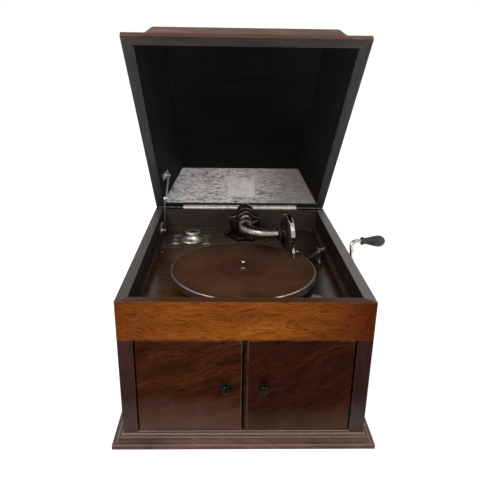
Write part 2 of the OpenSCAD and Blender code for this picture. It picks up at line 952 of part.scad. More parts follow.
module motor_top_plate() {
  lug_x = barrel_x + crown_r + 12;
  color(steel)
    difference() {
      union() {
        translate([0, 0, top_plate_z])
          linear_extrude(height = plate_t)
            plate_outline();
        translate([lug_x, crank_y - 8, crank_z - 8])
          cube([6, 16, top_plate_z - crank_z + 8]);
      }
      plate_bores(top_plate_z);
      translate([0, spindle_y, top_plate_z - past])
        cylinder(r = shaft_r + run, h = plate_t + 2 * past);
      at_motor_bolts(top_plate_z - past)
        cylinder(r = bolt_r, h = plate_t + 2 * past);
      translate([lug_x - past, crank_y, crank_z])
        rotate([0, 90, 0])
          cylinder(r = arbor_r + run, h = 6 + 2 * past);
    }
}

module motor_bottom_plate()
  color(steel)
    difference() {
      translate([0, 0, bottom_plate_z])
        linear_extrude(height = plate_t)
          plate_outline();
      plate_bores(bottom_plate_z);
      translate([0, spindle_y, bottom_plate_z - past])
        cylinder(r = shaft_r - 1 + run, h = plate_t + 2 * past);
    }

module motor_pillars()
  color(steel)
    at_motor_bolts(bottom_plate_z + plate_t)
      cylinder(r = 5, h = motor_h);

// Brake

brake_back = 270;
brake_at = [in_x - 22, front_y + brake_back];
brake_z = rim_low + 3;
pad_angle = 25;
pad_at = spindle_at + (table_r + near) * [cos(pad_angle), sin(pad_angle)];
module brake_base()
  color(nickel)
    translate([brake_at[0], brake_at[1], board_z]) {
      linear_extrude(height = 1.5)
        hull()
          for (y = [-9, 11])
            translate([0, y])
              circle(r = 6, $fn = 32);
      cylinder(r = 5, h = brake_z - board_z - near);
      cylinder(r = 2.5, h = brake_z - board_z + 5);
      translate([0, 0, brake_z - board_z + 4 + near])
        cylinder(r = 4.5, h = 2);
      for (y = [-11, 13])
        translate([0, y, 0])
          cylinder(r = 2.5, h = 2.8);
    }

module brake_lever() {
  reach = pad_at - brake_at;
  aim = atan2(reach[1], reach[0]);
  long = norm(reach);
  color(nickel)
    translate([brake_at[0], brake_at[1], brake_z])
      rotate([0, 0, aim])
        difference() {
          union() {
            cylinder(r = 6, h = 4);
            translate([0, 0, 1])
              linear_extrude(height = 2)
                polygon([[0, -5], [long - 8, -2.5], [long - 8, 2.5], [0, 5]]);
            translate([0, 0, 1])
              linear_extrude(height = 2)
                polygon([[0, -4], [-26, -3], [-26, 3], [0, 4]]);
            translate([-26, 0, 1])
              cylinder(r = 5, h = 2);
            intersection() {
              translate([long - 14, -7, 0])
                cube([20, 14, 5]);
              rotate([0, 0, -aim])
                translate([spindle_at[0] - brake_at[0], spindle_at[1] - brake_at[1], 0])
                  difference() {
                    cylinder(r = table_r + 7, h = 5, $fn = 96);
                    translate([0, 0, -past])
                      cylinder(r = table_r + near, h = 5 + 2 * past, $fn = 96);
                  }
            }
          }
          translate([0, 0, -past])
            cylinder(r = 2.5 + run, h = 6 + past);
        }
}

// Speed regulator

module regulator_dial()
  color(nickel)
    translate([dial_x, dial_y, board_z])
      difference() {
        cylinder(r = dial_r, h = 1.2);
        for (i = [0 : 6])
          rotate([0, 0, 30 + i * 20])
            translate([dial_r - 5, -0.3, 0.8])
              cube([3.5, 0.6, 1]);
        translate([0, 0, -past])
          cylinder(r = regulator_r + run, h = 4);
      }

module regulator_knob() {
  arm_z0 = disc_z + 2 + near;
  color(nickel)
    translate([dial_x, dial_y, 0]) {
      translate([0, 0, arm_z0])
        cylinder(r = regulator_r, h = board_z + 2 - arm_z0);
      translate([0, 0, board_z + 1.2 + near])
        cylinder(r = 6.5, h = 5);
      translate([0, 0, board_z + 1.2 + near])
        rotate([0, 0, 90])
          linear_extrude(height = 2)
            polygon([[0, -3], [14, -1], [14, 1], [0, 3]]);
      translate([0, 0, arm_z0])
        rotate([0, 0, link_dir + 180]) {
          linear_extrude(height = 2)
            union() {
              circle(r = 5);
              translate([regulator_reach, 0])
                circle(r = 3);
              polygon([[0, -4], [regulator_reach, -3], [regulator_reach, 3], [0, 4]]);
            }
          translate([regulator_reach, 0, -2 - near])
            cylinder(r = link_pin_r, h = 3);
        }
    }
}

// Winding crank

shaft_out_r = 6;
pinion_x = barrel_x + crown_r - 3;
shaft_in = pinion_x - 2;
escutcheon_t = 2;
hub_x = half_w + escutcheon_t + 6 + near;
module winding_shaft()
  color(steel)
    translate([0, crank_y, crank_z])
      rotate([0, 90, 0]) {
        translate([0, 0, shaft_in])
          cylinder(r = arbor_r, h = in_x - shaft_in);
        translate([0, 0, pinion_x])
          spur(winding_teeth, winding_mod, 6, 180 / winding_teeth, arbor_r - past);
        translate([0, 0, in_x - 6])
          cylinder(r = shaft_out_r, h = hub_x - in_x + 6 + 8);
      }

module crank_escutcheon()
  color(nickel)
    translate([half_w, crank_y, crank_z])
      rotate([0, 90, 0])
        difference() {
          rotate_extrude()
            polygon([[0, 0], [17, 0], [16, escutcheon_t], [10, escutcheon_t], [9, 8], [0, 8]]);
          translate([0, 0, -past])
            cylinder(r = shaft_out_r + run, h = 12);
        }

// The arm climbs from the shaft and turns out into the handle's rod
crank_bend = 11;
crank_out = 14;
grip_x = half_w + 34;
rod_end = grip_x + grip_len;
module crank_arm() {
  run_out = crank_len - crank_bend;
  color(nickel)
    translate([hub_x, crank_y, crank_z])
      rotate([-crank_lean, 0, 0]) {
        difference() {
          rotate([0, 90, 0])
            rotate_extrude()
              polygon([[0, 0], [10, 0], [10.5, 2], [10.5, 12], [8, 15], [0, 15]]);
          rotate([0, 90, 0])
            translate([0, 0, -past])
              cylinder(r = shaft_out_r, h = 8 + past);
        }
        translate([7.5, 0, 6])
          cylinder(r = rod_r, h = run_out - 6);
        translate([7.5 + crank_bend, 0, run_out])
          rotate([90, 0, 0])
            rotate([0, 0, 90])
              rotate_extrude(angle = 90)
                translate([crank_bend, 0])
                  circle(r = rod_r);
        translate([7.5 + crank_bend, 0, crank_len])
          rotate([0, 90, 0])
            cylinder(r = rod_r, h = rod_end - hub_x - 7.5 - crank_bend - 4);
      }
}

// The turned wooden grip
grip_steps = 16;
function grip_at(t) =
  6.2 + (grip_r - 6.2) * pow(sin(180 * pow(t, 1.5)), 1.2) * (t < 0.63 ? 1 : 0)
  + (t < 0.63 ? 0 : (grip_r - 6.2));
module crank_handle() {
  neck = 5;
  swell = 0.72 * grip_len;
  tail = grip_len - swell;
  color("#2a2522")
    translate([hub_x, crank_y, crank_z])
      rotate([-crank_lean, 0, 0])
        translate([grip_x - hub_x, 0, crank_len])
          rotate([0, 90, 0])
            difference() {
              rotate_extrude()
                polygon(concat(
                  [[0, 0], [7.5, 0], [8, 1], [8, neck - 1.5], [6.4, neck]],
                  [for (i = [1 : grip_steps])
                    [
                      6.2 + (grip_r - 6.2) * (1 - cos(180 * i / grip_steps)) / 2,
                      neck + (swell - neck) * i / grip_steps
                    ]],
                  [for (i = [1 : grip_steps])
                    [
                      grip_r * cos(90 * i / grip_steps),
                      swell + tail * sin(90 * i / grip_steps)
                    ]]
                ));
              translate([0, 0, -past])
                cylinder(r = rod_r + run, h = grip_len - 4 + past + near);
            }
}

// Lid

lid_rim = rim_h + lid_gap;
hinge_y = back_y;
hinge_z = rim_h + lid_gap / 2;
panel_lap = 6;
edge_step = 3;

// Carries a piece from its place on the closed lid to the open lid
module on_lid()
  translate([0, hinge_y, hinge_z])
    rotate([-lid_open, 0, 0])
      translate([0, -hinge_y, -hinge_z])
        children();

// Section of a lid board: x is the inset from the case's face, y the height over the lid's rim
cove_steps = 10;
cove_top = lid_edge + edge_step + cove_r;
crown_in = crown_inset - 5;
module lid_section()
  polygon(concat(
    [[0, 0], [side_t, 0], [side_t + lid_lean, lid_in_h]],
    [[crown_inset + panel_lap, lid_in_h], [crown_inset + panel_lap, lid_out_h]],
    [[crown_inset, lid_out_h], [crown_in + 2, lid_out_h - 1.5], [crown_in, lid_out_h - 5]],
    [for (i = [0 : cove_steps])
      let(a = -90 * i / cove_steps)
      [edge_step + cove_r * cos(a), cove_top + cove_r * sin(a)]],
    [[0, lid_edge]]
  ));

module lid_run(length)
  rotate([90, 0, 0])
    linear_extrude(height = length, center = true)
      lid_section();

lid_in = side_t + lid_lean + past;
module lid_side_board()
  intersection() {
    translate([-half_w, 0, lid_rim])
      lid_run(case_d + 2 * past);
    translate([0, 0, lid_rim - past])
      linear_extrude(height = lid_out_h + 2 * past)
        polygon([
          [-half_w, front_y], [-half_w, back_y],
          [-half_w + lid_in, back_y - lid_in], [-half_w + lid_in, front_y + lid_in]
        ]);
  }

module lid_end_board()
  intersection() {
    translate([0, front_y, lid_rim])
      rotate([0, 0, 90])
        lid_run(case_w + 2 * past);
    translate([0, 0, lid_rim - past])
      linear_extrude(height = lid_out_h + 2 * past)
        polygon([
          [-half_w, front_y], [half_w, front_y],
          [half_w - lid_in, front_y + lid_in], [-half_w + lid_in, front_y + lid_in]
        ]);
  }

module lid_left_board()
  color(oak_dark)
    on_lid()
      lid_side_board();

module lid_right_board()
  color(oak_dark)
    on_lid()
      mirror([1, 0, 0])
        lid_side_board();

module lid_front_board()
  color(oak_dark)
    on_lid()
      lid_end_board();

module lid_back_board()
  color(oak_dark)
    on_lid()
      difference() {
        mirror([0, 1, 0])
          lid_end_board();
        hinge_recess(1);
      }

module lid_top_panel() {
  inset = crown_inset + panel_lap;
  color(oak_dark)
    on_lid()
      translate([-half_w + inset, front_y + inset, lid_rim + lid_in_h])
        cube([case_w - 2 * inset, case_d - 2 * inset, lid_out_h - lid_in_h]);
}

// Long hinge: its leaves are let into the rim and the lid, its knuckles turn in a hollow

knuckles = 13;
knuckle_gap = 0.2;
leaf_w = 10;
leaf_off = 0.1;
hinge_pin_r = 1.1;
knuckle_len = hinge_len / knuckles;
hollow_r = knuckle_r + near;

// Room for the leaf and the knuckles: 0 for the case's side, 1 for the lid's
module hinge_recess(upper)
  translate([0, hinge_y, hinge_z])
    mirror([0, 0, 1 - upper]) {
      translate([-hinge_len / 2 - near, -leaf_w, leaf_off - past])
        cube([hinge_len + 2 * near, leaf_w + past, leaf_t + past]);
      translate([-hinge_len / 2 - near, 0, 0])
        rotate([0, 90, 0])
          cylinder(r = hollow_r, h = hinge_len + 2 * near, $fn = 32);
    }

module hinge_leaf(upper)
  mirror([0, 0, 1 - upper])
    difference() {
      union() {
        translate([-hinge_len / 2, -leaf_w, leaf_off])
          cube([hinge_len, leaf_w, leaf_t]);
        for (i = [upper : 2 : knuckles - 1])
          translate([-hinge_len / 2 + i * knuckle_len + knuckle_gap, 0, 0])
            rotate([0, 90, 0])
              cylinder(r = knuckle_r, h = knuckle_len - 2 * knuckle_gap, $fn = 32);
      }
      for (i = [1 - upper : 2 : knuckles - 1])
        translate([-hinge_len / 2 + i * knuckle_len - knuckle_gap, -hollow_r, -knuckle_r])
          cube([knuckle_len + 2 * knuckle_gap, hollow_r + knuckle_r, 2 * knuckle_r]);
      if (upper == 1)
        translate([-hinge_len / 2 - past, 0, 0])
          rotate([0, 90, 0])
            cylinder(r = hinge_pin_r + run, h = hinge_len + 2 * past, $fn = 32);
    }

module case_hinge_leaf()
  color(nickel)
    translate([0, hinge_y, hinge_z]) {
      hinge_leaf(0);
      translate([-hinge_len / 2, 0, 0])
        rotate([0, 90, 0])
          cylinder(r = hinge_pin_r, h = hinge_len, $fn = 32);
    }

module lid_hinge_leaf()
  color(nickel)
    on_lid()
      translate([0, hinge_y, hinge_z])
        hinge_leaf(1);

// Lid stay: two links that fold towards the front as the lid comes down

link_r = 4.5;
rivet_r = 2.2;
low_pivot = [back_y - stay_back, board_z + stay_rise];
stay_up_rise = 18;
up_closed = [hinge_y - stay_reach, hinge_z + stay_up_rise];
up_rel = up_closed - [hinge_y, hinge_z];
up_pivot = [hinge_y, hinge_z] + [
  up_rel[0] * cos(lid_open) + up_rel[1] * sin(lid_open),
  -up_rel[0] * sin(lid_open) + up_rel[1] * cos(lid_open)
];
stay_span = norm(up_pivot - low_pivot);
stay_dir = (up_pivot - low_pivot) / stay_span;
knee_along = (pow(stay_low_len, 2) - pow(stay_up_len, 2) + pow(stay_span, 2)) / (2 * stay_span);
knee_off = sqrt(pow(stay_low_len, 2) - pow(knee_along, 2));
knee = low_pivot + knee_along * stay_dir + knee_off * [-stay_dir[1], stay_dir[0]];
low_x = -in_x + 7;
knee_low_x = -in_x + 16;
knee_up_x = knee_low_x + link_t + 1.1;
up_x = -in_x + 19;
rivet_play = 0.8;
knee_rivet_r = 1.8;
knee_slack = 0.9;

// A link from one pivot to the other; each pivot is given as x, y, z of the link's middle
module stay_link(a, b, wide, eye) {
  run_yz = norm([b[1] - a[1], b[2] - a[2]]);
  tilt = atan2(b[2] - a[2], b[1] - a[1]);
  slant = atan2(b[0] - a[0], run_yz);
  long = run_yz / cos(slant);
  translate(a)
    rotate([tilt, 0, 0])
      rotate([0, 0, -slant])
        rotate([0, 90, 0])
          translate([0, 0, -link_t / 2])
            difference() {
              union() {
                cylinder(r = link_r, h = link_t);
                translate([0, long, 0])
                  cylinder(r = link_r, h = link_t);
                linear_extrude(height = link_t)
                  polygon([
                    [-wide, 0], [-link_r + 1, long], [link_r - 1, long], [wide, 0]
                  ]);
              }
              translate([0, 0, -past])
                cylinder(r = rivet_r + 0.6, h = link_t + 2 * past);
              translate([0, long, -past])
                cylinder(r = eye, h = link_t + 2 * past);
            }
}

module stay_lower_link()
  color(nickel) {
    stay_link(
      [low_x, low_pivot[0], low_pivot[1]], [knee_low_x, knee[0], knee[1]],
      link_r - 2, knee_rivet_r / 2
    );
    translate([knee_low_x, knee[0], knee[1]])
      rotate([0, 90, 0]) {
        translate([0, 0, -link_t / 2 - 1.2])
          cylinder(r = 3.4, h = link_t / 2 + 1.2);
        cylinder(r = knee_rivet_r, h = knee_up_x - knee_low_x + link_t / 2 + rivet_play + 0.5);
        translate([0, 0, knee_up_x - knee_low_x + link_t / 2 + rivet_play])
          cylinder(r = 3.8, h = 1.4);
      }
  }

module stay_upper_link()
  color(nickel)
    stay_link(
      [up_x, up_pivot[0], up_pivot[1]], [knee_up_x, knee[0], knee[1]],
      link_r - 1, knee_rivet_r + knee_slack
    );

module stay_bracket() {
  reach = low_x + in_x;
  color(nickel)
    translate([-in_x, low_pivot[0], low_pivot[1]]) {
      translate([0, -12, -3.5])
        cube([1.6, 24, 20]);
      rotate([0, 90, 0])
        cylinder(r = 4.5, h = reach - link_t / 2 - rivet_play);
      rotate([0, 90, 0])
        cylinder(r = rivet_r, h = reach + link_t / 2 + rivet_play + 0.5);
      translate([reach + link_t / 2 + rivet_play, 0, 0])
        rotate([0, 90, 0])
          cylinder(r = 3.4, h = 1.4);
      for (y = [-8, 8])
        translate([1.6, y, 12])
          rotate([0, 90, 0])
            cylinder(r = 2.4, h = 1);
    }
}

module lid_stay_bracket() {
  lean = atan2(lid_lean, lid_in_h);
  color(nickel)
    on_lid() {
      translate([-in_x, 0, lid_rim])
        rotate([0, lean, 0])
          translate([0, up_closed[0] - 10, 12])
            cube([1.6, 20, 18]);
      difference() {
        translate([up_x, up_closed[0], up_closed[1]])
          rotate([0, 90, 0]) {
            translate([0, 0, -16])
              cylinder(r = 3.6, h = 16 - link_t / 2 - rivet_play);
            translate([0, 0, -4])
              cylinder(r = rivet_r, h = 4 + link_t / 2 + rivet_play + 0.5);
            translate([0, 0, link_t / 2 + rivet_play])
              cylinder(r = 3.4, h = 1.4);
          }
        translate([-in_x, 0, lid_rim])
          rotate([0, lean, 0])
            translate([-40, up_closed[0] - 10, -10])
              cube([40, 20, 50]);
      }
    }
}

// Doors

door_low = base_t + door_gap;
door_top = rail_z - door_gap;
door_front = front_y + door_set;
door_edge = open_x - door_gap;
door_pin_x = door_edge - pin_inset;
door_pin_y = door_front + pin_inset;
door_pin_seat = 6;
door_pin_reach = 12;
door_lip = 4;
edge_round = 1.5;

// Plan of a door at the left: rounded at its pin and at its edges
module door_plan(inner)
  union() {
    translate([-door_pin_x, door_pin_y])
      circle(r = pin_inset, $fn = 32);
    polygon([
      [-door_pin_x, door_front], [inner - edge_round, door_front], [inner, door_front + edge_round],
      [inner, door_front + door_t], [-door_edge, door_front + door_t], [-door_edge, door_pin_y],
      [-door_pin_x, door_pin_y]
    ]);
  }

module door_body(inner)
  difference() {
    translate([0, 0, door_low])
      linear_extrude(height = door_top - door_low)
        door_plan(inner);
    translate([-door_pin_x, door_pin_y, door_low - past])
      cylinder(r = door_pin_r + run, h = door_pin_reach + past + near);
    translate([-door_pin_x, door_pin_y, door_top - door_pin_reach - near])
      cylinder(r = door_pin_r + run, h = door_pin_reach + past + near);
  }

module left_door()
  color(oak_door)
    door_body(-door_slot / 2 - 0.8);

module right_door()
  color(oak_door) {
    mirror([1, 0, 0])
      door_body(-door_slot / 2 + 0.8);
    translate([door_slot / 2 - 0.8 - door_lip, door_front + door_t / 2, door_low])
      cube([door_lip, door_t / 2, door_top - door_low]);
  }

module door_pins()
  color(steel)
    for (side = [-1, 1])
      translate([side * door_pin_x, door_pin_y, 0]) {
        translate([0, 0, base_t - door_pin_seat])
          cylinder(r = door_pin_r, h = door_pin_seat + door_gap + door_pin_reach);
        translate([0, 0, door_top - door_pin_reach])
          cylinder(r = door_pin_r, h = door_pin_seat + door_gap + door_pin_reach);
      }

knob_out = 17;
module knob(side)
  translate([side * knob_x, door_front, knob_z])
    rotate([90, 0, 0])
      rotate_extrude()
        polygon(concat(
          [[0, 0], [6.5, 0], [6.5, 1.5], [4.2, 3], [3.6, 5], [4.2, 7]],
          [for (i = [0 : 8])
            [knob_r * cos(-50 + 140 * i / 8), knob_out - 6 + 6 * sin(-50 + 140 * i / 8)]]
        ));

module left_knob()
  color(brass)
    knob(-1);

module right_knob()
  color(brass)
    knob(1);

// Tone arm

arm_z = mat_z + crook_rise;
dome_z = board_z + dome_rise;
collar_top = board_z + collar_rise;
ring_low = collar_top + near;
sleeve_low = board_z + 7;
sleeve_foot = sleeve_low + 0.02;
slide = 0.15;
arm_turn = -1.5;
joint_y = arm_y - arm_len;
socket_len = 12;
arm_sides = 24;

module tonearm_base()
  color(japan_black)
    translate([arm_x, arm_y, board_z]) {
      difference() {
        rotate_extrude()
          polygon([
            [0, 0], [flange_r, 0], [flange_r, 2.5], [flange_r - 1.5, 4], [collar_r + 1, 5],
            [collar_r, 7], [collar_r, collar_rise - 1], [collar_r - 1, collar_rise], [0, collar_rise]
          ]);
        translate([0, 0, sleeve_low - board_z])
          cylinder(r = sleeve_r + slide, h = collar_rise);
        translate([0, 0, -past])
          cylinder(r = throat_r, h = 20);
      }
      for (turn = [0, 180, 250, 290])
        rotate([0, 0, turn])
          translate([flange_r + 0.5, 0, 0])
            difference() {
              union() {
                cylinder(r = 7, h = 4.5);
                translate([0, 0, 4.5])
                  intersection() {
                    sphere(r = 5, $fn = 32);
                    cylinder(r = 6, h = 6);
                  }
              }
              translate([-flange_r - 0.5, 0, sleeve_low - board_z])
                cylinder(r = sleeve_r + slide, h = collar_rise);
            }
    }

// Sweeps a round tube of changing radius along points; each ring is [centre, radius, heading, rise]
function ring(centre, r, heading, rise) = [
  for (i = [0 : arm_sides - 1])
    let(
      a = 360 * i / arm_sides,
      side = [-sin(heading), cos(heading), 0],
      up = [-sin(rise) * cos(heading), -sin(rise) * sin(heading), cos(rise)]
    )
    centre + r * (cos(a) * side + sin(a) * up)
];
module swept(rings) {
  count = len(rings);
  points = [for (k = rings) for (p = ring(k[0], k[1], k[2], k[3])) p];
  walls = [
    for (k = [0 : count - 2])
      for (i = [0 : arm_sides - 1])
        let(
          a = k * arm_sides + i,
          b = k * arm_sides + (i + 1) % arm_sides
        )
        each [[a, b + arm_sides, b], [a, a + arm_sides, b + arm_sides]]
  ];
  hub = count * arm_sides;
  top = (count - 1) * arm_sides;
  first = [for (i = [0 : arm_sides - 1]) [i, (i + 1) % arm_sides, hub]];
  last = [for (i = [0 : arm_sides - 1]) [top + (i + 1) % arm_sides, top + i, hub + 1]];
  polyhedron(
    points = concat(points, [rings[0][0], rings[count - 1][0]]),
    faces = concat(walls, first, last), convexity = 6
  );
}

// Turns the arm about its pivot to where it rests
module on_arm()
  translate([arm_x, arm_y, 0])
    rotate([0, 0, arm_turn])
      translate([-arm_x, -arm_y, 0])
        children();

// Sleeve, ring and domed root, then a straight taper up to the crook's joint
module tonearm() {
  cone_y = arm_len - socket_len + 2;
  cone_run = norm([cone_y, arm_z - dome_z]);
  color(nickel)
    on_arm() {
      translate([arm_x, arm_y, 0])
        difference() {
          rotate_extrude()
            polygon([
              [0, sleeve_foot], [sleeve_r, sleeve_foot], [sleeve_r, ring_low], [collar_r + 0.5, ring_low],
              [collar_r + 0.5, ring_low + 3], [collar_r - 1, ring_low + 4.5], [arm_root_r + 4, ring_low + 5.5],
              [arm_root_r + 1, ring_low + 7], [arm_root_r - 0.4, ring_low + 9],
              [arm_root_r - 0.4, dome_z], [0, dome_z]
            ]);
          translate([0, 0, sleeve_low - past])
            cylinder(r = throat_r, h = ring_low + 1 - sleeve_low + past);
        }
      translate([arm_x, arm_y, dome_z])
        sphere(r = arm_root_r);
      translate([arm_x, arm_y, dome_z])
        rotate([90 - atan2(arm_z - dome_z, cone_y), 0, 0])
          cylinder(r1 = arm_root_r - 0.8, r2 = arm_tip_r - 0.5, h = cone_run);
      translate([arm_x, joint_y, arm_z])
        rotate([-90, 0, 0])
          difference() {
            rotate_extrude()
              polygon([
                [0, 0], [arm_tip_r + 1, 0], [arm_tip_r + 1, socket_len - 2],
                [arm_tip_r, socket_len], [0, socket_len]
              ]);
            translate([0, 0, -past])
              cylinder(r = spigot_r + run, h = spigot_len + past + near);
          }
    }
}

// Crook from the joint round to the sound box
spigot_r = 8;
spigot_len = 8.5;
ring_len = 5;
crook_steps = 14;
crook_end_r = 8.5;
crook_start = joint_y - ring_len - near;
crook_turn = 90 + box_yaw;
box_out = 18;
crook_stub = 14;
crook_centre = [arm_x + crook_bend, crook_start, arm_z];
crook_end = crook_centre + crook_bend * [sin(box_yaw), -cos(box_yaw), 0];
box_dir = [cos(box_yaw), sin(box_yaw), 0];
box_at = crook_end + (crook_stub + box_out) * box_dir;
crook_rings = concat(
  [for (i = [0 : crook_steps])
    let(a = crook_turn * i / crook_steps)
    [
      crook_centre + crook_bend * [-cos(a), -sin(a), 0],
      arm_tip_r - 0.5 + (crook_end_r - arm_tip_r + 0.5) * i / crook_steps, -90 + a, 0
    ]],
  [[crook_end + crook_stub * box_dir, crook_end_r - 0.3, box_yaw, 0]]
);

module crook()
  color(nickel)
    on_arm() {
    swept(crook_rings);
    translate([arm_x, crook_start, arm_z])
      rotate([-90, 0, 0]) {
        cylinder(r = arm_tip_r + 1, h = ring_len);
        cylinder(r = spigot_r, h = ring_len + near + spigot_len);
      }
  }

// Sound box: local Z is its outward axis and local X runs down to the needle
module at_soundbox()
  on_arm()
    translate(box_at)
      rotate([0, 0, box_yaw])
        rotate([0, 90, 0])
          rotate([0, 0, needle_angle - 90])
            children();

box_back = 6;
box_front = 4;
mica_r = box_r - 6;
module soundbox()
  color(nickel)
    at_soundbox() {
      translate([0, 0, -box_out])
        rotate_extrude()
          polygon([
            [0, 0], [14.5, 0], [14.5, 2.5], [9.5, 3.5], [9.5, 5.5], [11, 6], [11, 7.5], [9.5, 8],
            [9.5, 10], [13, box_out - box_back], [0, box_out - box_back]
          ]);
      rotate_extrude()
        polygon([
          [0, -box_back], [box_r - 4, -box_back], [box_r, -box_back + 3], [box_r, box_front - 1.5],
          [box_r - 1.5, box_front], [mica_r - 2, box_front], [mica_r - 3, 1.6], [mica_r - 3, 1],
          [mica_r, 1], [mica_r, 0], [mica_r - 3, 0], [mica_r - 3, -2], [0, -2]
        ]);
      translate([box_r - 4, -4, box_front])
        cube([7, 8, 0.6]);
    }

module diaphragm()
  color(mica)
    at_soundbox()
      cylinder(r = mica_r, h = 0.6);

bar_z = box_front + 3.5;
needle_r = 0.75;
needle_tip_at = (arm_z - mat_z - 0.4) / sin(needle_angle);
module needle_bar()
  color(nickel)
    at_soundbox() {
      translate([0, 0, 0.6 + 0.02])
        cylinder(r = 1.3, h = bar_z - 0.6);
      translate([0, -1, bar_z - 1])
        cube([box_r - 3, 2, 2]);
      translate([box_r - 4, 0, bar_z])
        rotate([0, 90, 0])
          difference() {
            cylinder(r = 2.6, h = 7.5);
            translate([0, 0, 3])
              cylinder(r = needle_r, h = 6);
          }
      translate([box_r + 1, 0, bar_z + 1.5])
        cylinder(r = 1.2, h = 3.5);
      translate([box_r + 1, 0, bar_z + 5])
        cylinder(r = 3.2, h = 3);
    }

module needle()
  color(steel)
    at_soundbox()
      translate([box_r - 1, 0, bar_z])
        rotate([0, 90, 0]) {
          cylinder(r = needle_r, h = needle_tip_at - box_r - 2);
          translate([0, 0, needle_tip_at - box_r - 2])
            cylinder(r1 = needle_r, r2 = 0.1, h = 3);
        }

left_side_panel();
right_side_panel();
back_panel();
front_rail();
stiles();
base_board();
plinth();
motor_board();
tonearm_board();
board_cleats();
well_beading();
horn_roof();
horn_sides();
horn_throat();
tonearm_base();
board_fixings();
needle_cups();
needle_trays();
brake_base();
brake_lever();
regulator_dial();
regulator_knob();
motor_top_plate();
motor_bottom_plate();
motor_pillars();
spring_barrel();
mainspring();
winding_wheel();
intermediate_gear();
spindle();
platter();
felt_mat();
governor();
governor_brake();
winding_shaft();
crank_escutcheon();
crank_arm();
crank_handle();
lid_front_board();
lid_left_board();
lid_right_board();
lid_back_board();
lid_top_panel();
case_hinge_leaf();
lid_hinge_leaf();
stay_bracket();
stay_lower_link();
stay_upper_link();
lid_stay_bracket();
left_door();
right_door();
left_knob();
right_knob();
door_pins();
tonearm();
crook();
soundbox();
diaphragm();
needle_bar();
needle();
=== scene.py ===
"""Tabletop gramophone: quarter sawn oak case, nickel fittings, an open lid and a crank at the side."""

import math
import random

import bmesh
import bpy
from mathutils import Matrix, Vector


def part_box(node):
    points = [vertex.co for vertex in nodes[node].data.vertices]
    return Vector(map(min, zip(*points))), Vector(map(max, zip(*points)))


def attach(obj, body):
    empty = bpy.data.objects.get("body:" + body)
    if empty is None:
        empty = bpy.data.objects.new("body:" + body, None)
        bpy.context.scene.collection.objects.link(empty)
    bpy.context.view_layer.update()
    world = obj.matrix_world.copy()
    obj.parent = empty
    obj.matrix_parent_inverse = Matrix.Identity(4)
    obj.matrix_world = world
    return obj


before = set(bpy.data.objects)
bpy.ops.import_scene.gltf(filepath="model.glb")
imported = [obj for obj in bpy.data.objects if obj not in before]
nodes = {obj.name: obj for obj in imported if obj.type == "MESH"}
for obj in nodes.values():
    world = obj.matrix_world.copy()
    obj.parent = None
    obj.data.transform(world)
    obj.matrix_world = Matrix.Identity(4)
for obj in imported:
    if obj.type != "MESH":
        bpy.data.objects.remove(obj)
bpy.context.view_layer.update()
random.seed(7)

MM = 0.001
X = Vector((1, 0, 0))
Y = Vector((0, 1, 0))
Z = Vector((0, 0, 1))


# Colours and shader nodes


def linear(code):
    """An sRGB hex colour as linear RGBA."""
    parts = [int(code[i : i + 2], 16) / 255 for i in (0, 2, 4)]
    return tuple(c / 12.92 if c <= 0.04045 else ((c + 0.055) / 1.055) ** 2.4 for c in parts) + (1.0,)


def per(mm):
    """The scale of a pattern whose grains are this many millimetres apart."""
    return 1 / (mm * MM)


def fill(tree, node, sockets):
    """Fills a node's sockets: a node stands for its first output in use, a hex code for its colour."""
    for name, value in sockets.items():
        if isinstance(value, bpy.types.Node):
            value = next(output for output in value.outputs if output.enabled)
        if isinstance(value, bpy.types.NodeSocket):
            tree.links.new(value, node.inputs[name])
        else:
            node.inputs[name].default_value = linear(value) if isinstance(value, str) else value


def add(tree, kind, sockets=None, stops=(), **settings):
    """A new shader node with its settings, its filled sockets, and a ramp's stops in hex or grey."""
    node = tree.nodes.new("ShaderNode" + kind)
    for name, value in settings.items():
        setattr(node, name, value)
    fill(tree, node, sockets or {})
    if stops:
        ramp = node.color_ramp.elements
        ramp.remove(ramp[-1])
        for i, (place, colour) in enumerate(stops):
            stop = ramp.new(place) if i else ramp[0]
            stop.position = place
            stop.color = linear(colour) if isinstance(colour, str) else (colour, colour, colour, 1)
    return node


def begin(name):
    """A new material with its tree, its shader, and coordinates in metres."""
    material = bpy.data.materials.new(name)
    material.use_nodes = True
    tree = material.node_tree
    return material, tree, tree.nodes["Principled BSDF"], add(tree, "TexCoord").outputs["Object"]


def streaky(tree, space, long, wide, detail=4.0, roughness=0.5, distortion=0.0):
    """Noise drawn out along X, its streaks as long and wide as this in millimetres."""
    stretch = add(tree, "Mapping", {"Vector": space, "Scale": (per(long), per(wide), per(wide))})
    look = {"Scale": 1.0, "Detail": detail, "Roughness": roughness, "Distortion": distortion}
    return add(tree, "TexNoise", {"Vector": stretch, **look})


def ragged(tree, value, cloud, spread, start, end, amount=1.0):
    """0 before the start and the amount past the end, the front between them made ragged by a cloud."""
    shaken = add(tree, "Math", {0: cloud, 1: spread, 2: value}, operation="MULTIPLY_ADD")
    first, last = start + spread / 2, end + spread / 2
    return add(tree, "MapRange", {"Value": shaken, "From Min": first, "From Max": last, "To Max": amount})


def face_mask(tree, direction, amount=1.0, low=0.7, high=0.9):
    """The amount on faces whose rest normal points along the direction, and 0 on the others."""
    normal = add(tree, "TexCoord").outputs["Normal"]
    turn = add(tree, "VectorMath", {0: normal, 1: direction}, operation="DOT_PRODUCT")
    return add(tree, "MapRange", {"Value": turn, "From Min": low, "From Max": high, "To Max": amount})


def edge_mask(tree, rounded):
    """1 where a rounded arris turns away from the flat face beside it, and 0 on the face."""
    flat = add(tree, "NewGeometry").outputs["Normal"]
    turn = add(tree, "VectorMath", {0: rounded, 1: flat}, operation="DOT_PRODUCT")
    return add(tree, "MapRange", {"Value": turn, "From Min": 0.995, "From Max": 0.80})


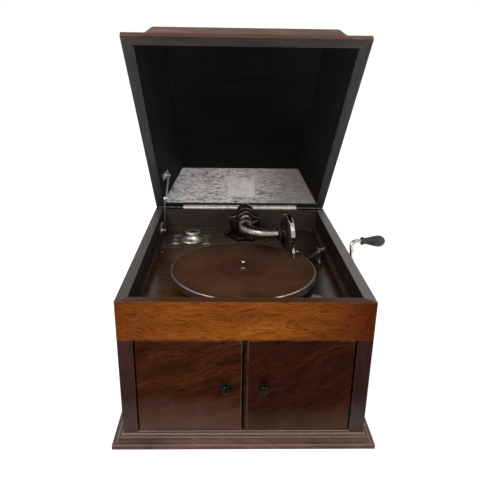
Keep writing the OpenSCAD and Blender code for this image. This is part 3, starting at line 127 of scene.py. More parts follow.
# Wood

# Turns that bring the grain to X, for a board along x, y or z and for one that lies flat along x
GRAIN_TURNS = {
    "x": (math.radians(90), 0, 0),
    "y": (0, 0, math.radians(90)),
    "z": (0, math.radians(90), 0),
    "x_flat": (0, 0, 0),
}


def grain_space(tree, place, along, tilt, sway):
    """Coordinates with the grain along X, bent by a slow drift so that no line runs dead straight."""
    laid = add(tree, "Mapping", {"Vector": place, "Rotation": GRAIN_TURNS[along]})
    tilted = add(tree, "Mapping", {"Vector": laid, "Rotation": (0, 0, math.radians(tilt))})
    drift = add(tree, "TexNoise", {"Vector": tilted, "Scale": per(125), "Detail": 2.0}).outputs["Color"]
    bend = add(tree, "VectorMath", {0: drift, 1: (0.5, 0.5, 0.5)}, operation="SUBTRACT")
    bent = add(tree, "VectorMath", {0: bend, "Scale": sway}, operation="SCALE")
    return add(tree, "VectorMath", {0: tilted, 1: bent}, operation="ADD")


def shade_painted_across(tree, place, cloud, colour, axis, start, end, tint, middle=None):
    """Painted shade that deepens from one place on an axis to another, or to both sides of a middle on it.
    """
    side = add(tree, "SeparateXYZ", {0: place}).outputs[axis]
    if middle is not None:
        offset = add(tree, "Math", {0: side, 1: middle}, operation="SUBTRACT")
        side = add(tree, "Math", {0: offset}, operation="ABSOLUTE")
    deepened = {"Factor": ragged(tree, side, cloud, 50 * MM, start, end), "A": colour, "B": tint}
    return add(tree, "Mix", deepened, data_type="RGBA", blend_type="MULTIPLY")


def floor_reflection_at_foot(tree, place, colour, top, full, tint, amount):
    """A painted reflection of the pale floor, grey in the varnish, that starts at a height and is full at a
    lower one.
    """
    height = add(tree, "SeparateXYZ", {0: place}).outputs["Z"]
    cloud = add(tree, "TexNoise", {"Vector": place, "Scale": per(62.5), "Detail": 3.0})
    reach = ragged(tree, height, cloud, 60 * MM, top, full, amount)
    return add(tree, "Mix", {"Factor": reach, "A": colour, "B": tint}, data_type="RGBA")


def figured_wood(
    name, along, tones, pore, wear, rough, specular=0.06, fleck=0.5, tilt=6.0, sway=0.05,
    stain_and_painted_shade=None, painted_floor_reflection=None, faces=(), edge_mm=1.2, relief_by=0.2, painted_edge_highlight=0.0,
):
    """Quarter sawn oak, fumed and varnished, or planed pine: bands of tone, open pores and ray flecks.

    The pores are 0.3 mm wide in real oak and are drawn 2 mm wide to show. The flecks are about 28 mm long.
    tones are the bands' colours, pore is that of pores and flecks, and wear that of worn arrises and of the
    painted highlight along them. faces holds a direction, a tint and an amount for each face tinted apart
    from the rest; on the side panels these tints are painted shade on the inner faces and a painted
    reflection on the top edges.
    """
    material, tree, shader, place = begin(name)
    grain = grain_space(tree, place, along, tilt, sway)
    bands = streaky(tree, grain, long=142.9, wide=23.81, roughness=0.6)
    pores = streaky(tree, grain, long=38.46, wide=1.923, roughness=0.65)
    rays = streaky(tree, grain, long=27.78, wide=2.381, distortion=0.7)
    specks = streaky(tree, grain, long=11.11, wide=1.613, detail=3.0, roughness=0.6)
    colour = add(tree, "ValToRGB", {"Fac": bands}, stops=zip((0.32, 0.50, 0.68), tones))
    open_pore = add(tree, "ValToRGB", {"Fac": pores}, stops=[(0.30, 0.65), (0.50, 0.0)])
    flecks = add(tree, "ValToRGB", {"Fac": rays}, stops=[(0.34, fleck), (0.40, 0.6 * fleck), (0.45, 0.0)])
    ticks = add(tree, "ValToRGB", {"Fac": specks}, stops=[(0.34, 0.6 * fleck), (0.44, 0.0)])
    for figure in (open_pore, flecks, ticks):
        colour = add(tree, "Mix", {"Factor": figure, "A": colour, "B": pore}, data_type="RGBA")
    # painted shade, darker across the piece towards one side or towards both ends
    if stain_and_painted_shade:
        colour = shade_painted_across(tree, place, bands, colour, **stain_and_painted_shade)
    # a painted reflection of the floor, paler towards the foot
    if painted_floor_reflection:
        colour = floor_reflection_at_foot(tree, place, colour, **painted_floor_reflection)
    # faces tinted apart from the rest: on the side panels, painted shade inside and a painted reflection on
    # top
    for direction, tint, amount in faces:
        thin = add(tree, "Math", {0: open_pore, 1: 0.35}, operation="MULTIPLY")
        shade = add(tree, "Mix", {"Factor": thin, "A": tint, "B": "1a1512"}, data_type="RGBA")
        mask = face_mask(tree, direction, amount)
        colour = add(tree, "Mix", {"Factor": mask, "A": colour, "B": shade}, data_type="RGBA")
    # arrises worn to the wear colour in patches, and, where painted_edge_highlight is set, a little painted
    # highlight all along them
    rounded = add(tree, "Bevel", {"Radius": edge_mm * MM}, samples=4)
    scuffs = add(tree, "TexNoise", {"Vector": place, "Scale": per(14.29), "Detail": 3.0})
    scuffs_and_edge_highlight = {"Value": scuffs, "From Min": 0.42, "From Max": 0.62, "To Min": painted_edge_highlight, "To Max": 0.8}
    patches = add(tree, "MapRange", scuffs_and_edge_highlight)
    wear_and_painted_light = add(tree, "Math", {0: edge_mask(tree, rounded), 1: patches}, operation="MULTIPLY")
    colour = add(tree, "Mix", {"Factor": wear_and_painted_light, "A": colour, "B": wear}, data_type="RGBA")
    gloss = add(tree, "MapRange", {"Value": scuffs, "To Min": rough - 0.06, "To Max": rough + 0.10})
    relief = add(tree, "Math", {0: pores, 1: rays}, operation="ADD")
    bump = add(tree, "Bump", {
        "Height": relief, "Strength": relief_by, "Distance": 0.22 * MM, "Normal": rounded,
    })
    fill(tree, shader, {
        "Base Color": colour, "Roughness": gloss, "Normal": bump, "Specular IOR Level": specular,
    })
    return material


LID_OPEN = math.radians(49)
LID_DOWN = Vector((0.0, -math.sin(LID_OPEN), -math.cos(LID_OPEN)))
LID_BROWNS = ("30221b", "433129", "5c483e")
# grey of the lids' rims: a painted reflection in the varnish
LID_GREYS = ("333335", "434345", "555557")
LID_BLACKS = ("0c0b09", "131210", "1c1b18")


def crazing_and_painted_reflection(tree, place):
    """Crazed varnish, silvery with a painted reflection of the pale room and fine dark crazing along the
    grain, but smooth and greyer at the right, with painted shade.

    Real crazing is 0.5 mm wide and is drawn 3 mm wide to show. The colour and the relief are given back.
    """
    sway = add(tree, "TexNoise", {"Vector": place, "Scale": per(33.33), "Detail": 2.0}).outputs["Color"]
    lean = add(tree, "VectorMath", {0: sway, "Scale": 7 * MM}, operation="SCALE")
    wavy = add(tree, "VectorMath", {0: place, 1: lean}, operation="ADD")
    flakes = streaky(tree, wavy, long=15.625, wide=3.448, detail=8.0, roughness=0.82)
    cloud = add(tree, "TexNoise", {"Vector": place, "Scale": per(38.46), "Detail": 4.0, "Roughness": 0.6})
    both = add(tree, "Math", {0: cloud, 1: 0.15, 2: flakes}, operation="MULTIPLY_ADD")
    silver_tones = ("544e48", "958f8b", "c6c2bf", "e8e5e4", "fbfafa")
    silver = add(tree, "ValToRGB", {"Fac": both}, stops=zip((0.46, 0.505, 0.55, 0.60, 0.76), silver_tones))
    smooth_tones = ("837c77", "989189", "b2aca6")
    smooth = add(tree, "ValToRGB", {"Fac": both}, stops=zip((0.44, 0.58, 0.72), smooth_tones))
    # painted shade: the painted reflection greys towards the right
    across = add(tree, "SeparateXYZ", {0: place}).outputs["X"]
    reach = ragged(tree, across, cloud, 80 * MM, -10 * MM, 110 * MM)
    return add(tree, "Mix", {"Factor": reach, "A": silver, "B": smooth}, data_type="RGBA"), both


def lid_finish(name, outer=LID_BROWNS, rim=LID_GREYS, inside_crazed_with_painted_reflection=False, grain=(0, 0, 0)):
    """Lid of stained oak: browned and bleached outside, grey on its rim with a painted reflection, nearly
    black inside.

    The grain is the turn that brings a board's grain to X. The pores are drawn 3 mm wide to show.
    """
    material, tree, shader, place = begin(name)
    laid = add(tree, "Mapping", {"Vector": place, "Rotation": grain})
    pores = streaky(tree, laid, long=33.33, wide=3.030, roughness=0.65)
    figure = streaky(tree, laid, long=166.7, wide=22.73, detail=5.0, roughness=0.6, distortion=0.4)
    cloud = add(tree, "TexNoise", {"Vector": place, "Scale": per(76.92), "Detail": 4.0, "Roughness": 0.6})
    broad = add(tree, "Mix", {"Factor": 0.35, "A": figure, "B": cloud})
    both = add(tree, "Math", {0: pores, 1: 0.45, 2: broad}, operation="MULTIPLY_ADD")

    def toned(tones):
        return add(tree, "ValToRGB", {"Fac": both}, stops=zip((0.50, 0.72, 0.95), tones))

    if inside_crazed_with_painted_reflection:
        inside, relief = crazing_and_painted_reflection(tree, place)
    else:
        inside, relief = toned(LID_BLACKS), both
    # the rim's painted reflection is darkest near the hinge, 270 mm up, and palest 520 mm up
    height = add(tree, "SeparateXYZ", {0: place}).outputs["Z"]
    low_down = {"Value": height, "From Min": 520 * MM, "From Max": 270 * MM, "To Max": 0.55}
    darkened = {"Factor": add(tree, "MapRange", low_down), "A": toned(rim), "B": "1c1c1b"}
    rim_painted_sheen = add(tree, "Mix", darkened, data_type="RGBA")
    # what lies further in than the rim, measured square to its plane on the open lid, is the inside
    away = add(tree, "VectorMath", {0: place, 1: hinge}, operation="SUBTRACT")
    level = add(tree, "VectorMath", {0: away, 1: LID_DOWN}, operation="DOT_PRODUCT")
    within = add(tree, "MapRange", {"Value": level, "From Min": -1.2 * MM, "From Max": -2.2 * MM})
    under = add(tree, "Mix", {"Factor": within, "A": rim_painted_sheen, "B": inside}, data_type="RGBA")
    down = face_mask(tree, LID_DOWN, low=0.25, high=0.40)
    colour = add(tree, "Mix", {"Factor": down, "A": toned(outer), "B": under}, data_type="RGBA")
    # arrises rubbed pale in places
    rounded = add(tree, "Bevel", {"Radius": 1.0 * MM}, samples=4)
    scuffs = add(tree, "TexNoise", {"Vector": place, "Scale": per(16.67), "Detail": 3.0})
    patches = add(tree, "MapRange", {"Value": scuffs, "From Min": 0.42, "From Max": 0.62, "To Max": 0.6})
    wear_and_painted_light = add(tree, "Math", {0: edge_mask(tree, rounded), 1: patches}, operation="MULTIPLY")
    colour = add(tree, "Mix", {"Factor": wear_and_painted_light, "A": colour, "B": "9c938c"}, data_type="RGBA")
    bump = add(tree, "Bump", {"Height": relief, "Strength": 0.25, "Distance": 0.2 * MM, "Normal": rounded})
    gloss = add(tree, "MapRange", {"Value": cloud, "To Min": 0.36, "To Max": 0.56})
    fill(tree, shader, {
        "Base Color": colour, "Roughness": gloss, "Normal": bump, "Specular IOR Level": 0.08,
    })
    return material


# Places that the finishes and the pieces share, read from the CAD nodes

KNUCKLE_R = 2.4 * MM
mat_low, mat_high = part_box("felt_mat")
mat_centre = Vector((0.0, (mat_low.y + mat_high.y) / 2, mat_high.z))
leaf_low, leaf_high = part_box("case_hinge_leaf")
hinge = Vector((0.0, leaf_high.y - KNUCKLE_R, leaf_high.z - KNUCKLE_R))
mica_centre = sum(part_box("diaphragm"), Vector()) / 2
arm_pivot = Vector((0.0, sum(corner.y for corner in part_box("tonearm_base")) / 2, 0.0))

# The woods of the case and the lid

rail_oak = figured_wood(
    "fumed_oak_front_rail", "x", ("703a0b", "844610", "965618"), "461f06", "8a6a50", 0.34,
    # painted highlight along the arrises
    specular=0.04, fleck=0.75, tilt=-4.0, edge_mm=2.2, painted_edge_highlight=0.25, faces=[(Z, "40281a", 0.9)],
    # painted shade that darkens the rail towards both ends
    stain_and_painted_shade={"axis": "X", "start": 70 * MM, "end": 235 * MM, "tint": "94644a", "middle": -35 * MM},
)
left_door_oak = figured_wood(
    "fumed_oak_left_door", "x", ("2c1205", "3e1a08", "50260e"), "120500", "a08468", 0.30,
    # painted highlight along the arrises
    specular=0.025, fleck=0.95, tilt=16.0, sway=0.06, edge_mm=2.4, painted_edge_highlight=0.3,
    # painted reflection of the floor towards the foot
    painted_floor_reflection={"top": 85 * MM, "full": 25 * MM, "tint": "5f483d", "amount": 0.7},
)
right_door_oak = figured_wood(
    "fumed_oak_right_door", "x", ("200b03", "2f1105", "40190a"), "0b0200", "9a8068", 0.30,
    # painted highlight along the arrises
    specular=0.025, fleck=0.9, tilt=32.0, sway=0.06, edge_mm=2.4, painted_edge_highlight=0.15,
    # painted reflection of the floor towards the foot
    painted_floor_reflection={"top": 75 * MM, "full": 25 * MM, "tint": "503c31", "amount": 0.65},
)
post_oak = figured_wood(
    # painted highlight along the arrises
    "fumed_oak_stiles", "z", ("311818", "3e211f", "4e302c"), "1c0e0d", "8a6a5c", 0.36, fleck=0.3, painted_edge_highlight=0.2,
    # painted shade that darkens the stiles towards the right
    stain_and_painted_shade={"axis": "X", "start": 0.0, "end": 100 * MM, "tint": "ac9484"},
    # painted reflection of the floor towards the foot
    painted_floor_reflection={"top": 90 * MM, "full": 30 * MM, "tint": "544845", "amount": 0.5},
)
# the panels' inner faces are darker than their outer faces, painted shade, and their top edges greyer, a
# painted reflection that is brighter on the right panel
panel_browns = ("331a12", "422519", "523222")
side_oaks = {
    side: figured_wood(
        "fumed_oak_" + side + "_side", "y", panel_browns, "1c0d08", "8c8078", 0.38, fleck=0.4,
        faces=[(inward, inner, 0.85), (Z, rim, 0.9)],
    )
    for side, inward, inner, rim in (("left", X, "24211d", "4e4844"), ("right", -X, "1f1b18", "686461"))
}
back_oak = figured_wood(
    "fumed_oak_back_panel", "x", panel_browns, "1c0d08", "8c8078", 0.38, fleck=0.4,
    faces=[(-Y, "3e3832", 0.9), (Z, "2a2420", 0.9)],
)
plinth_oak = figured_wood(
    "fumed_oak_plinth", "x_flat", ("44302a", "573f37", "6e554b"), "2a1a15", "c4aea2", 0.30,
    # painted highlight along the moulding's arrises
    specular=0.12, fleck=0.3, edge_mm=2.6, painted_edge_highlight=0.7,
)
motor_board_oak = figured_wood(
    "varnished_oak_motor_board", "x_flat", ("38240f", "462d16", "553a20"), "24140a", "6a4c34", 0.20,
    specular=0.22, fleck=0.12, relief_by=0.06,
    # painted shade that darkens the board towards the right
    stain_and_painted_shade={"axis": "X", "start": 20 * MM, "end": 170 * MM, "tint": "a08c80"},
)
arm_board_oak = figured_wood(
    "varnished_oak_tone_arm_board", "x_flat", ("3a3229", "443b31", "4f463b"), "2c241c", "6f6152", 0.24,
    specular=0.22, fleck=0.08, relief_by=0.05,
    # painted shade that darkens the board towards the right
    stain_and_painted_shade={"axis": "X", "start": 30 * MM, "end": 170 * MM, "tint": "9c8c80"},
)
bead_oak = figured_wood(
    "varnished_oak_beading", "x_flat", ("2c241d", "362d25", "41372d"), "1c1610", "6a5c4e", 0.30, fleck=0.1,
)
pine = figured_wood("planed_pine", "y", ("8f6a42", "a57c50", "b58c60"), "6a4a2a", "c09a70", 0.6, fleck=0.15)

# the side boards' grain runs from the hinge to the front
hinge_to_front = (LID_OPEN, 0, math.radians(90))
lid_oak = lid_finish("stained_oak_lid")
lid_side_oak = lid_finish("stained_oak_lid_sides", grain=hinge_to_front)
lid_front_oak = lid_finish(
    "bleached_oak_lid_front", outer=("402b25", "5a3f36", "7a6055"), rim=("35302d", "433d39", "544d48")
)
# the back board's silvery inside is a painted reflection of the room, shaded greyer at the right
lid_back_oak = lid_finish("stained_oak_lid_back", inside_crazed_with_painted_reflection=True)


# Metal


def plated(name, bright, dull, rough, spots=0.35, cloud_mm=11.11):
    """Nickel plate, steel, brass or bronze: shining, with duller clouds and small brown pits of wear."""
    material, tree, shader, place = begin(name)
    clouds = add(tree, "TexNoise", {
        "Vector": place, "Scale": per(cloud_mm), "Detail": 4.0, "Roughness": 0.6,
    })
    worn = add(tree, "ValToRGB", {"Fac": clouds}, stops=[(0.40, bright), (0.62, dull)])
    # pits are drawn 2.4 mm apart and about 1 mm wide to show
    pits = add(tree, "TexVoronoi", {"Vector": place, "Scale": per(2.381)})
    speck = add(tree, "MapRange", {"Value": pits, "From Min": 0.24, "From Max": 0.10, "To Max": spots})
    colour = add(tree, "Mix", {"Factor": speck, "A": worn, "B": "4b3a2b"}, data_type="RGBA")
    haze = add(tree, "MapRange", {"Value": clouds, "To Min": rough - 0.07, "To Max": rough + 0.14})
    rounded = add(tree, "Bevel", {"Radius": 0.4 * MM}, samples=4)
    bump = add(tree, "Bump", {"Height": clouds, "Strength": 0.06, "Distance": 0.2 * MM, "Normal": rounded})
    fill(tree, shader, {"Base Color": colour, "Roughness": haze, "Normal": bump, "Metallic": 1.0})
    return material


nickel = plated("nickel_plate", "c4c1bb", "8c877e", 0.22)
cup_nickel = plated("satin_nickel_needle_cups", "dcd8d0", "aaa49a", 0.42, spots=0.3, cloud_mm=6.25)
old_nickel = plated("worn_nickel_plate", "b0aca4", "746e64", 0.32, spots=0.6, cloud_mm=6.25)
hinge_nickel = plated("worn_nickel_hinge", "f6efea", "cfc4bc", 0.50, spots=0.5, cloud_mm=4.167)
stay_nickel = plated("satin_nickel_stay", "e6e3de", "b4afa8", 0.46, spots=0.3, cloud_mm=6.25)
rim_nickel = plated("satin_nickel_platter_rim", "a3958a", "7b6f65", 0.40, spots=0.2)
crook_nickel = plated("polished_nickel_crook", "a29d96", "7c766e", 0.24, spots=0.15)
steel = plated("blued_steel", "77777a", "55555a", 0.36, spots=0.1)
bright_steel = plated("bright_needle_steel", "d8d6d2", "b0ada7", 0.2, spots=0.0)
brass = plated("machined_brass", "b4924e", "8f7138", 0.32, spots=0.1)
knob_bronze = plated("dark_bronze_knobs", "231d16", "120e0a", 0.22, spots=0.1)


def nickel_lacquer_and_dark_reflection(name, axis, origin, start, end, arcs_by=0.0, edge_by=1.0):
    """Nickel plate, black past a place on its axis, and bright again at edges and in thin arcs.
    The black is a lacquered coat on the sound box; on the tone arm it is a painted reflection of the dark
    lid, and the arcs are painted reflections of the lid's patterned board.
    """
    material, tree, shader, place = begin(name)
    clouds = add(tree, "TexNoise", {"Vector": place, "Scale": per(9.091), "Detail": 4.0, "Roughness": 0.6})
    bright = add(tree, "ValToRGB", {"Fac": clouds}, stops=[(0.38, "b9b7b3"), (0.64, "8d8a84")])
    dark = add(tree, "ValToRGB", {"Fac": clouds}, stops=[(0.38, "1c1a16"), (0.64, "302c26")])
    away = add(tree, "VectorMath", {0: place, 1: origin}, operation="SUBTRACT")
    along = add(tree, "VectorMath", {0: away, 1: axis}, operation="DOT_PRODUCT")
    lacquer_and_dark_reflection = ragged(tree, along, clouds, 4 * MM, start, end)
    # thin arcs of metal, painted reflections of the lid's patterned board; a wave of scale 1 has its bands
    # tau / 20 metres apart
    arc_gap = 39.27 * MM
    wave = {"Vector": place, "Scale": math.tau / 20 / arc_gap, "Distortion": 7.0, "Detail Scale": 3.0}
    arcs = add(tree, "TexWave", wave, bands_direction="Y").outputs["Fac"]
    wear_and_painted_light = add(tree, "MapRange", {"Value": arcs, "From Min": 0.965, "From Max": 0.99, "To Max": arcs_by})
    rounded = add(tree, "Bevel", {"Radius": 0.5 * MM}, samples=4)
    edge = add(tree, "Math", {0: edge_mask(tree, rounded), 1: edge_by}, operation="MULTIPLY")
    colour = add(tree, "Mix", {"Factor": lacquer_and_dark_reflection, "A": bright, "B": dark}, data_type="RGBA")
    arc = add(tree, "Math", {0: wear_and_painted_light, 1: lacquer_and_dark_reflection}, operation="MULTIPLY")
    colour = add(tree, "Mix", {"Factor": arc, "A": colour, "B": "d8d2c8"}, data_type="RGBA")
    colour = add(tree, "Mix", {"Factor": edge, "A": colour, "B": "cfc9c0"}, data_type="RGBA")
    # metal shows where the black has not reached, along an arc of painted reflection, or where an edge is
    # worn through the black
    black = lacquer_and_dark_reflection
    for bare in (wear_and_painted_light, edge):
        sound = add(tree, "Math", {0: 1.0, 1: bare}, operation="SUBTRACT")
        black = add(tree, "Math", {0: black, 1: sound}, operation="MULTIPLY")
    metal = add(tree, "Math", {0: 1.0, 1: black}, operation="SUBTRACT")
    haze = add(tree, "MapRange", {"Value": clouds, "To Min": 0.05, "To Max": 0.16})
    bump = add(tree, "Bump", {"Height": clouds, "Strength": 0.05, "Distance": 0.2 * MM, "Normal": rounded})
    fill(tree, shader, {
        "Base Color": colour, "Metallic": metal, "Roughness": haze, "Normal": bump,
        "Specular IOR Level": 0.0,
    })
    return material


# on the arm the black is a painted reflection of the dark lid, and its bright arcs are painted reflections
arm_nickel = nickel_lacquer_and_dark_reflection(
    "nickel_tone_arm_painted_reflections", Y, arm_pivot, -150 * MM, -142 * MM, arcs_by=1.0, edge_by=0.2
)
# the sound box is nickel at its face and black behind; its axis has its own yaw and the arm's turn
BOX_YAW, ARM_TURN = math.radians(12), math.radians(-1.5)
box_turn = BOX_YAW + ARM_TURN
box_axis = Vector((math.cos(box_turn), math.sin(box_turn), 0.0))
box_nickel = nickel_lacquer_and_dark_reflection("nickel_and_black_sound_box", -box_axis, mica_centre, 3.5 * MM, 4.5 * MM)


# Enamel, tape, felt, paper and mica


def coated(name, tones, rough, specular, bump_mm=0.05, cloud_mm=8.333):
    """Baked enamel, blackened steel, cloth tape or ebonised wood: black, softly shining, a little dusty."""
    material, tree, shader, place = begin(name)
    dust = add(tree, "TexNoise", {
        "Vector": place, "Scale": per(cloud_mm), "Detail": 4.0, "Roughness": 0.65,
    })
    tone = add(tree, "ValToRGB", {"Fac": dust}, stops=zip((0.38, 0.60, 0.78), tones))
    rub = add(tree, "MapRange", {"Value": dust, "To Min": rough - 0.08, "To Max": rough + 0.14})
    rounded = add(tree, "Bevel", {"Radius": 0.5 * MM}, samples=4)
    bump = add(tree, "Bump", {
        "Height": dust, "Strength": 0.15, "Distance": bump_mm * MM, "Normal": rounded,
    })
    fill(tree, shader, {
        "Base Color": tone, "Roughness": rub, "Normal": bump, "Specular IOR Level": specular,
    })
    return material


japan = coated("black_japanned_iron", ("060504", "0d0b0a", "1a1613"), 0.16, 0.22)
ebonised = coated("ebonised_beech_grip", ("15110f", "1f1a17", "332c27"), 0.28, 0.5)
blackened_steel_and_hole_shade = coated("blackened_steel_and_hole_shade", ("090807", "12100e", "1d1a17"), 0.4, 0.3)
# the tape's threads are 0.3 mm apart and are drawn 1.4 mm apart to show
cloth_tape_and_shade_sheet = coated(
    "black_cloth_tape_and_shade_sheet", ("070605", "0f0d0b", "1a1714"), 0.8, 0.06, bump_mm=0.2, cloud_mm=1.429
)


def wool_felt():
    """Pressed wool felt, faded red brown; its fibres are 0.05 mm thick and are drawn 1.6 mm wide to show."""
    material, tree, shader, place = begin("wool_felt_mat")
    fibres = add(tree, "TexNoise", {"Vector": place, "Scale": per(1.613), "Detail": 3.0, "Roughness": 0.7})
    blotch = add(tree, "TexNoise", {"Vector": place, "Scale": per(58.82), "Detail": 4.0, "Roughness": 0.6})
    both = add(tree, "Math", {0: fibres, 1: 0.45, 2: blotch}, operation="MULTIPLY_ADD")
    tone = add(tree, "ValToRGB", {"Fac": both}, stops=[(0.50, "2d170c"), (0.72, "3c2111"), (0.92, "4e301c")])
    # a paler ring, worn under the record's groove, its stops in parts of a 125 mm radius
    away = add(tree, "VectorMath", {0: place, 1: mat_centre}, operation="DISTANCE")
    share = add(tree, "Math", {0: away, 1: 125 * MM}, operation="DIVIDE")
    worn = zip((0.30, 0.42, 0.80, 0.95), (0.0, 0.30, 0.22, 0.0))
    ring = add(tree, "ValToRGB", {"Fac": share}, stops=worn)
    colour = add(tree, "Mix", {"Factor": ring, "A": tone, "B": "553825"}, data_type="RGBA")
    bump = add(tree, "Bump", {"Height": both, "Strength": 0.5, "Distance": 0.3 * MM})
    fill(tree, shader, {
        "Base Color": colour, "Normal": bump, "Roughness": 0.95, "Specular IOR Level": 0.02,
        "Sheen Weight": 0.03, "Sheen Roughness": 0.5,
    })
    return material


def old_paper():
    """A blank label of rag paper, yellowed and stained, dull; its fibres are drawn 2 mm wide to show."""
    material, tree, shader, place = begin("yellowed_paper_label")
    stain_and_painted_shade = add(tree, "TexNoise", {"Vector": place, "Scale": per(16.67), "Detail": 5.0, "Roughness": 0.65})
    fibre = add(tree, "TexNoise", {"Vector": place, "Scale": per(2.0), "Detail": 2.0})
    both = add(tree, "Math", {0: fibre, 1: 0.25, 2: stain_and_painted_shade}, operation="MULTIPLY_ADD")
    tone = add(tree, "ValToRGB", {"Fac": both}, stops=[(0.45, "cdc4b9"), (0.62, "e6e0d8"), (0.8, "f0ece6")])
    bump = add(tree, "Bump", {"Height": both, "Strength": 0.3, "Distance": 0.1 * MM})
    fill(tree, shader, {"Base Color": tone, "Normal": bump, "Roughness": 0.6, "Specular IOR Level": 0.3})
    return material


def split_mica():
    """A disc of mica, split thin: milky and slightly golden, with cloudy layers and a soft shine."""
    material, tree, shader, place = begin("mica_diaphragm")
    layers = add(tree, "TexNoise", {"Vector": place, "Scale": per(6.667), "Detail": 4.0})
    tone = add(tree, "ValToRGB", {"Fac": layers}, stops=[(0.35, "8f8a78"), (0.65, "b8b3a0")])
    fill(tree, shader, {"Base Color": tone, "Roughness": 0.18, "Specular IOR Level": 0.6})
    return material


felt = wool_felt()
paper = old_paper()
mica = split_mica()


# Pieces that only the scene has


def level_of(node, direction):
    """How far along a direction the widest flat face that looks that way lies."""
    areas = {}
    for face in nodes[node].data.polygons:
        if face.normal.dot(direction) > 0.999:
            place = round(face.center.dot(direction), 5)
            areas[place] = areas.get(place, 0.0) + face.area
    return max(areas, key=areas.get)


def piece(name, made, finish, body):
    """Makes a smooth object of a bmesh, gives it its finish, and lets it ride on a body."""
    mesh = bpy.data.meshes.new(name)
    bmesh.ops.recalc_face_normals(made, faces=made.faces)
    made.to_mesh(mesh)
    made.free()
    for face in mesh.polygons:
        face.use_smooth = True
    shown = bpy.data.objects.new(name, mesh)
    bpy.context.scene.collection.objects.link(shown)
    mesh.materials.append(finish)
    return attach(shown, body)


def loft(made, rings):
    """Skins closed rings of points in turn and closes both ends."""
    skins = [[made.verts.new(point) for point in ring] for ring in rings]
    for near_ring, far_ring in zip(skins, skins[1:]):
        for i in range(len(near_ring)):
            j = (i + 1) % len(near_ring)
            made.faces.new((near_ring[i], near_ring[j], far_ring[j], far_ring[i]))
    made.faces.new(skins[0])
    made.faces.new(skins[-1])


def rounded_plate(made, centre, size, corner, thick, crown=0.0, steps=4):
    """A flat plate with rounded corners and an eased top arris, crowned or dished a little in its middle."""
    outline = []
    for quarter in range(4):
        cx = (size[0] / 2 - corner) * (1 if quarter in (0, 3) else -1)
        cy = (size[1] / 2 - corner) * (1 if quarter in (0, 1) else -1)
        for k in range(steps + 1):
            angle = math.radians(90 * (quarter + k / steps))
            outline.append((cx + corner * math.cos(angle), cy + corner * math.sin(angle)))
    ease = min(thick * 0.4, 0.4 * MM)
    top = 1 - 2 * ease / min(size)
    profile = [(1.0, 0.0), (1.0, thick - ease), (top, thick)]
    profile += [(0.6 * top, thick + 0.8 * crown), (0.2, thick + crown)]
    loft(made, [[centre + Vector((x * share, y * share, h)) for x, y in outline] for share, h in profile])


def turned(made, centre, profile, sides=24, up=Z, across=X, oval=1.0):
    """A turned piece: rings of a radius and a height about an axis, narrowed beside across by the oval."""
    beside = up.cross(across) * oval
    angles = [math.tau * i / sides for i in range(sides)]
    spokes = [math.cos(angle) * across + math.sin(angle) * beside for angle in angles]
    loft(made, [[centre + radius * spoke + height * up for spoke in spokes] for radius, height in profile])


def curled_label(made, centre, wide, high, rise, off, columns=20, rows=16):
    """A sheet of old paper: rippled, frayed at its border and curled up at its corners."""
    sides = []
    for thick in (0.05 * MM, 0.22 * MM):
        verts = []
        for i in range(columns + 1):
            for j in range(rows + 1):
                u, v = i / columns - 0.5, j / rows - 0.5
                curl = max(0.0, abs(u) + abs(v) - 0.82) * 4.0 * MM
                ripple = 0.10 * MM * (1 + math.sin(9 * u + 2) * math.sin(11 * v))
                fray = 0.35 * MM * math.sin(31 * (u + v)) if max(abs(u), abs(v)) > 0.499 else 0.0
                flat = centre + (wide * u + fray) * X + (high * v + fray) * rise
                verts.append(made.verts.new(flat + (thick + curl + ripple) * off))
        sides.append(verts)
    under, over = sides
    stride = rows + 1
    for i in range(columns):
        for j in range(rows):
            a = i * stride + j
            made.faces.new([over[k] for k in (a, a + stride, a + stride + 1, a + 1)])
            made.faces.new([under[k] for k in (a + 1, a + stride + 1, a + stride, a)])
    border = [i * stride for i in range(columns + 1)] + [columns * stride + j for j in range(1, stride)]
    border += [i * stride + rows for i in range(columns - 1, -1, -1)] + list(range(rows - 1, 0, -1))
    for a, b in zip(border, border[1:] + border[:1]):
        made.faces.new((under[a], under[b], over[b], over[a]))


# Blank label on the lid's back board, on the normal of its widest face that looks into the open lid
LABEL_WIDE, LABEL_HIGH = 64 * MM, 46 * MM
LABEL_OVER_HINGE = 46 * MM
LABEL_ASIDE = 1.6 * MM
back_faces = nodes["lid_back_board"].data.polygons
inner_faces = [face for face in back_faces if 0.3 < face.normal.dot(LID_DOWN) < 0.9]
off = max(inner_faces, key=lambda face: face.area).normal.copy()
rise = off.cross(X)
label_at = LABEL_ASIDE * X + level_of("lid_back_board", off) * off
label_at += (hinge.dot(rise) + LABEL_OVER_HINGE) * rise
sheet = bmesh.new()
curled_label(sheet, label_at, LABEL_WIDE, LABEL_HIGH, rise, off)
piece("blank_paper_label", sheet, paper, "lid")

# Strips of black cloth tape that close the back rim at both ends of the hinge
TAPE_WIDE, TAPE_THICK = 9.6 * MM, 0.52 * MM
TAPE_GAP, TAPE_INSET, TAPE_LIFT = 1 * MM, 0.1 * MM, 0.01 * MM
back_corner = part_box("back_panel")[1]
hinge_half = (leaf_high.x - leaf_low.x) / 2
tape_len = back_corner.x - hinge_half - 2 * TAPE_GAP
tape_out = hinge_half + TAPE_GAP + tape_len / 2
tape_y = back_corner.y - TAPE_INSET - TAPE_WIDE / 2
tape_z = level_of("back_panel", Z) + TAPE_LIFT
for side, name in ((-1, "left_rim_tape"), (1, "right_rim_tape")):
    tape = bmesh.new()
    centre = Vector((side * tape_out, tape_y, tape_z))
    rounded_plate(tape, centre, (tape_len, TAPE_WIDE), corner=0.8 * MM, thick=TAPE_THICK)
    piece(name, tape, cloth_tape_and_shade_sheet, "case")

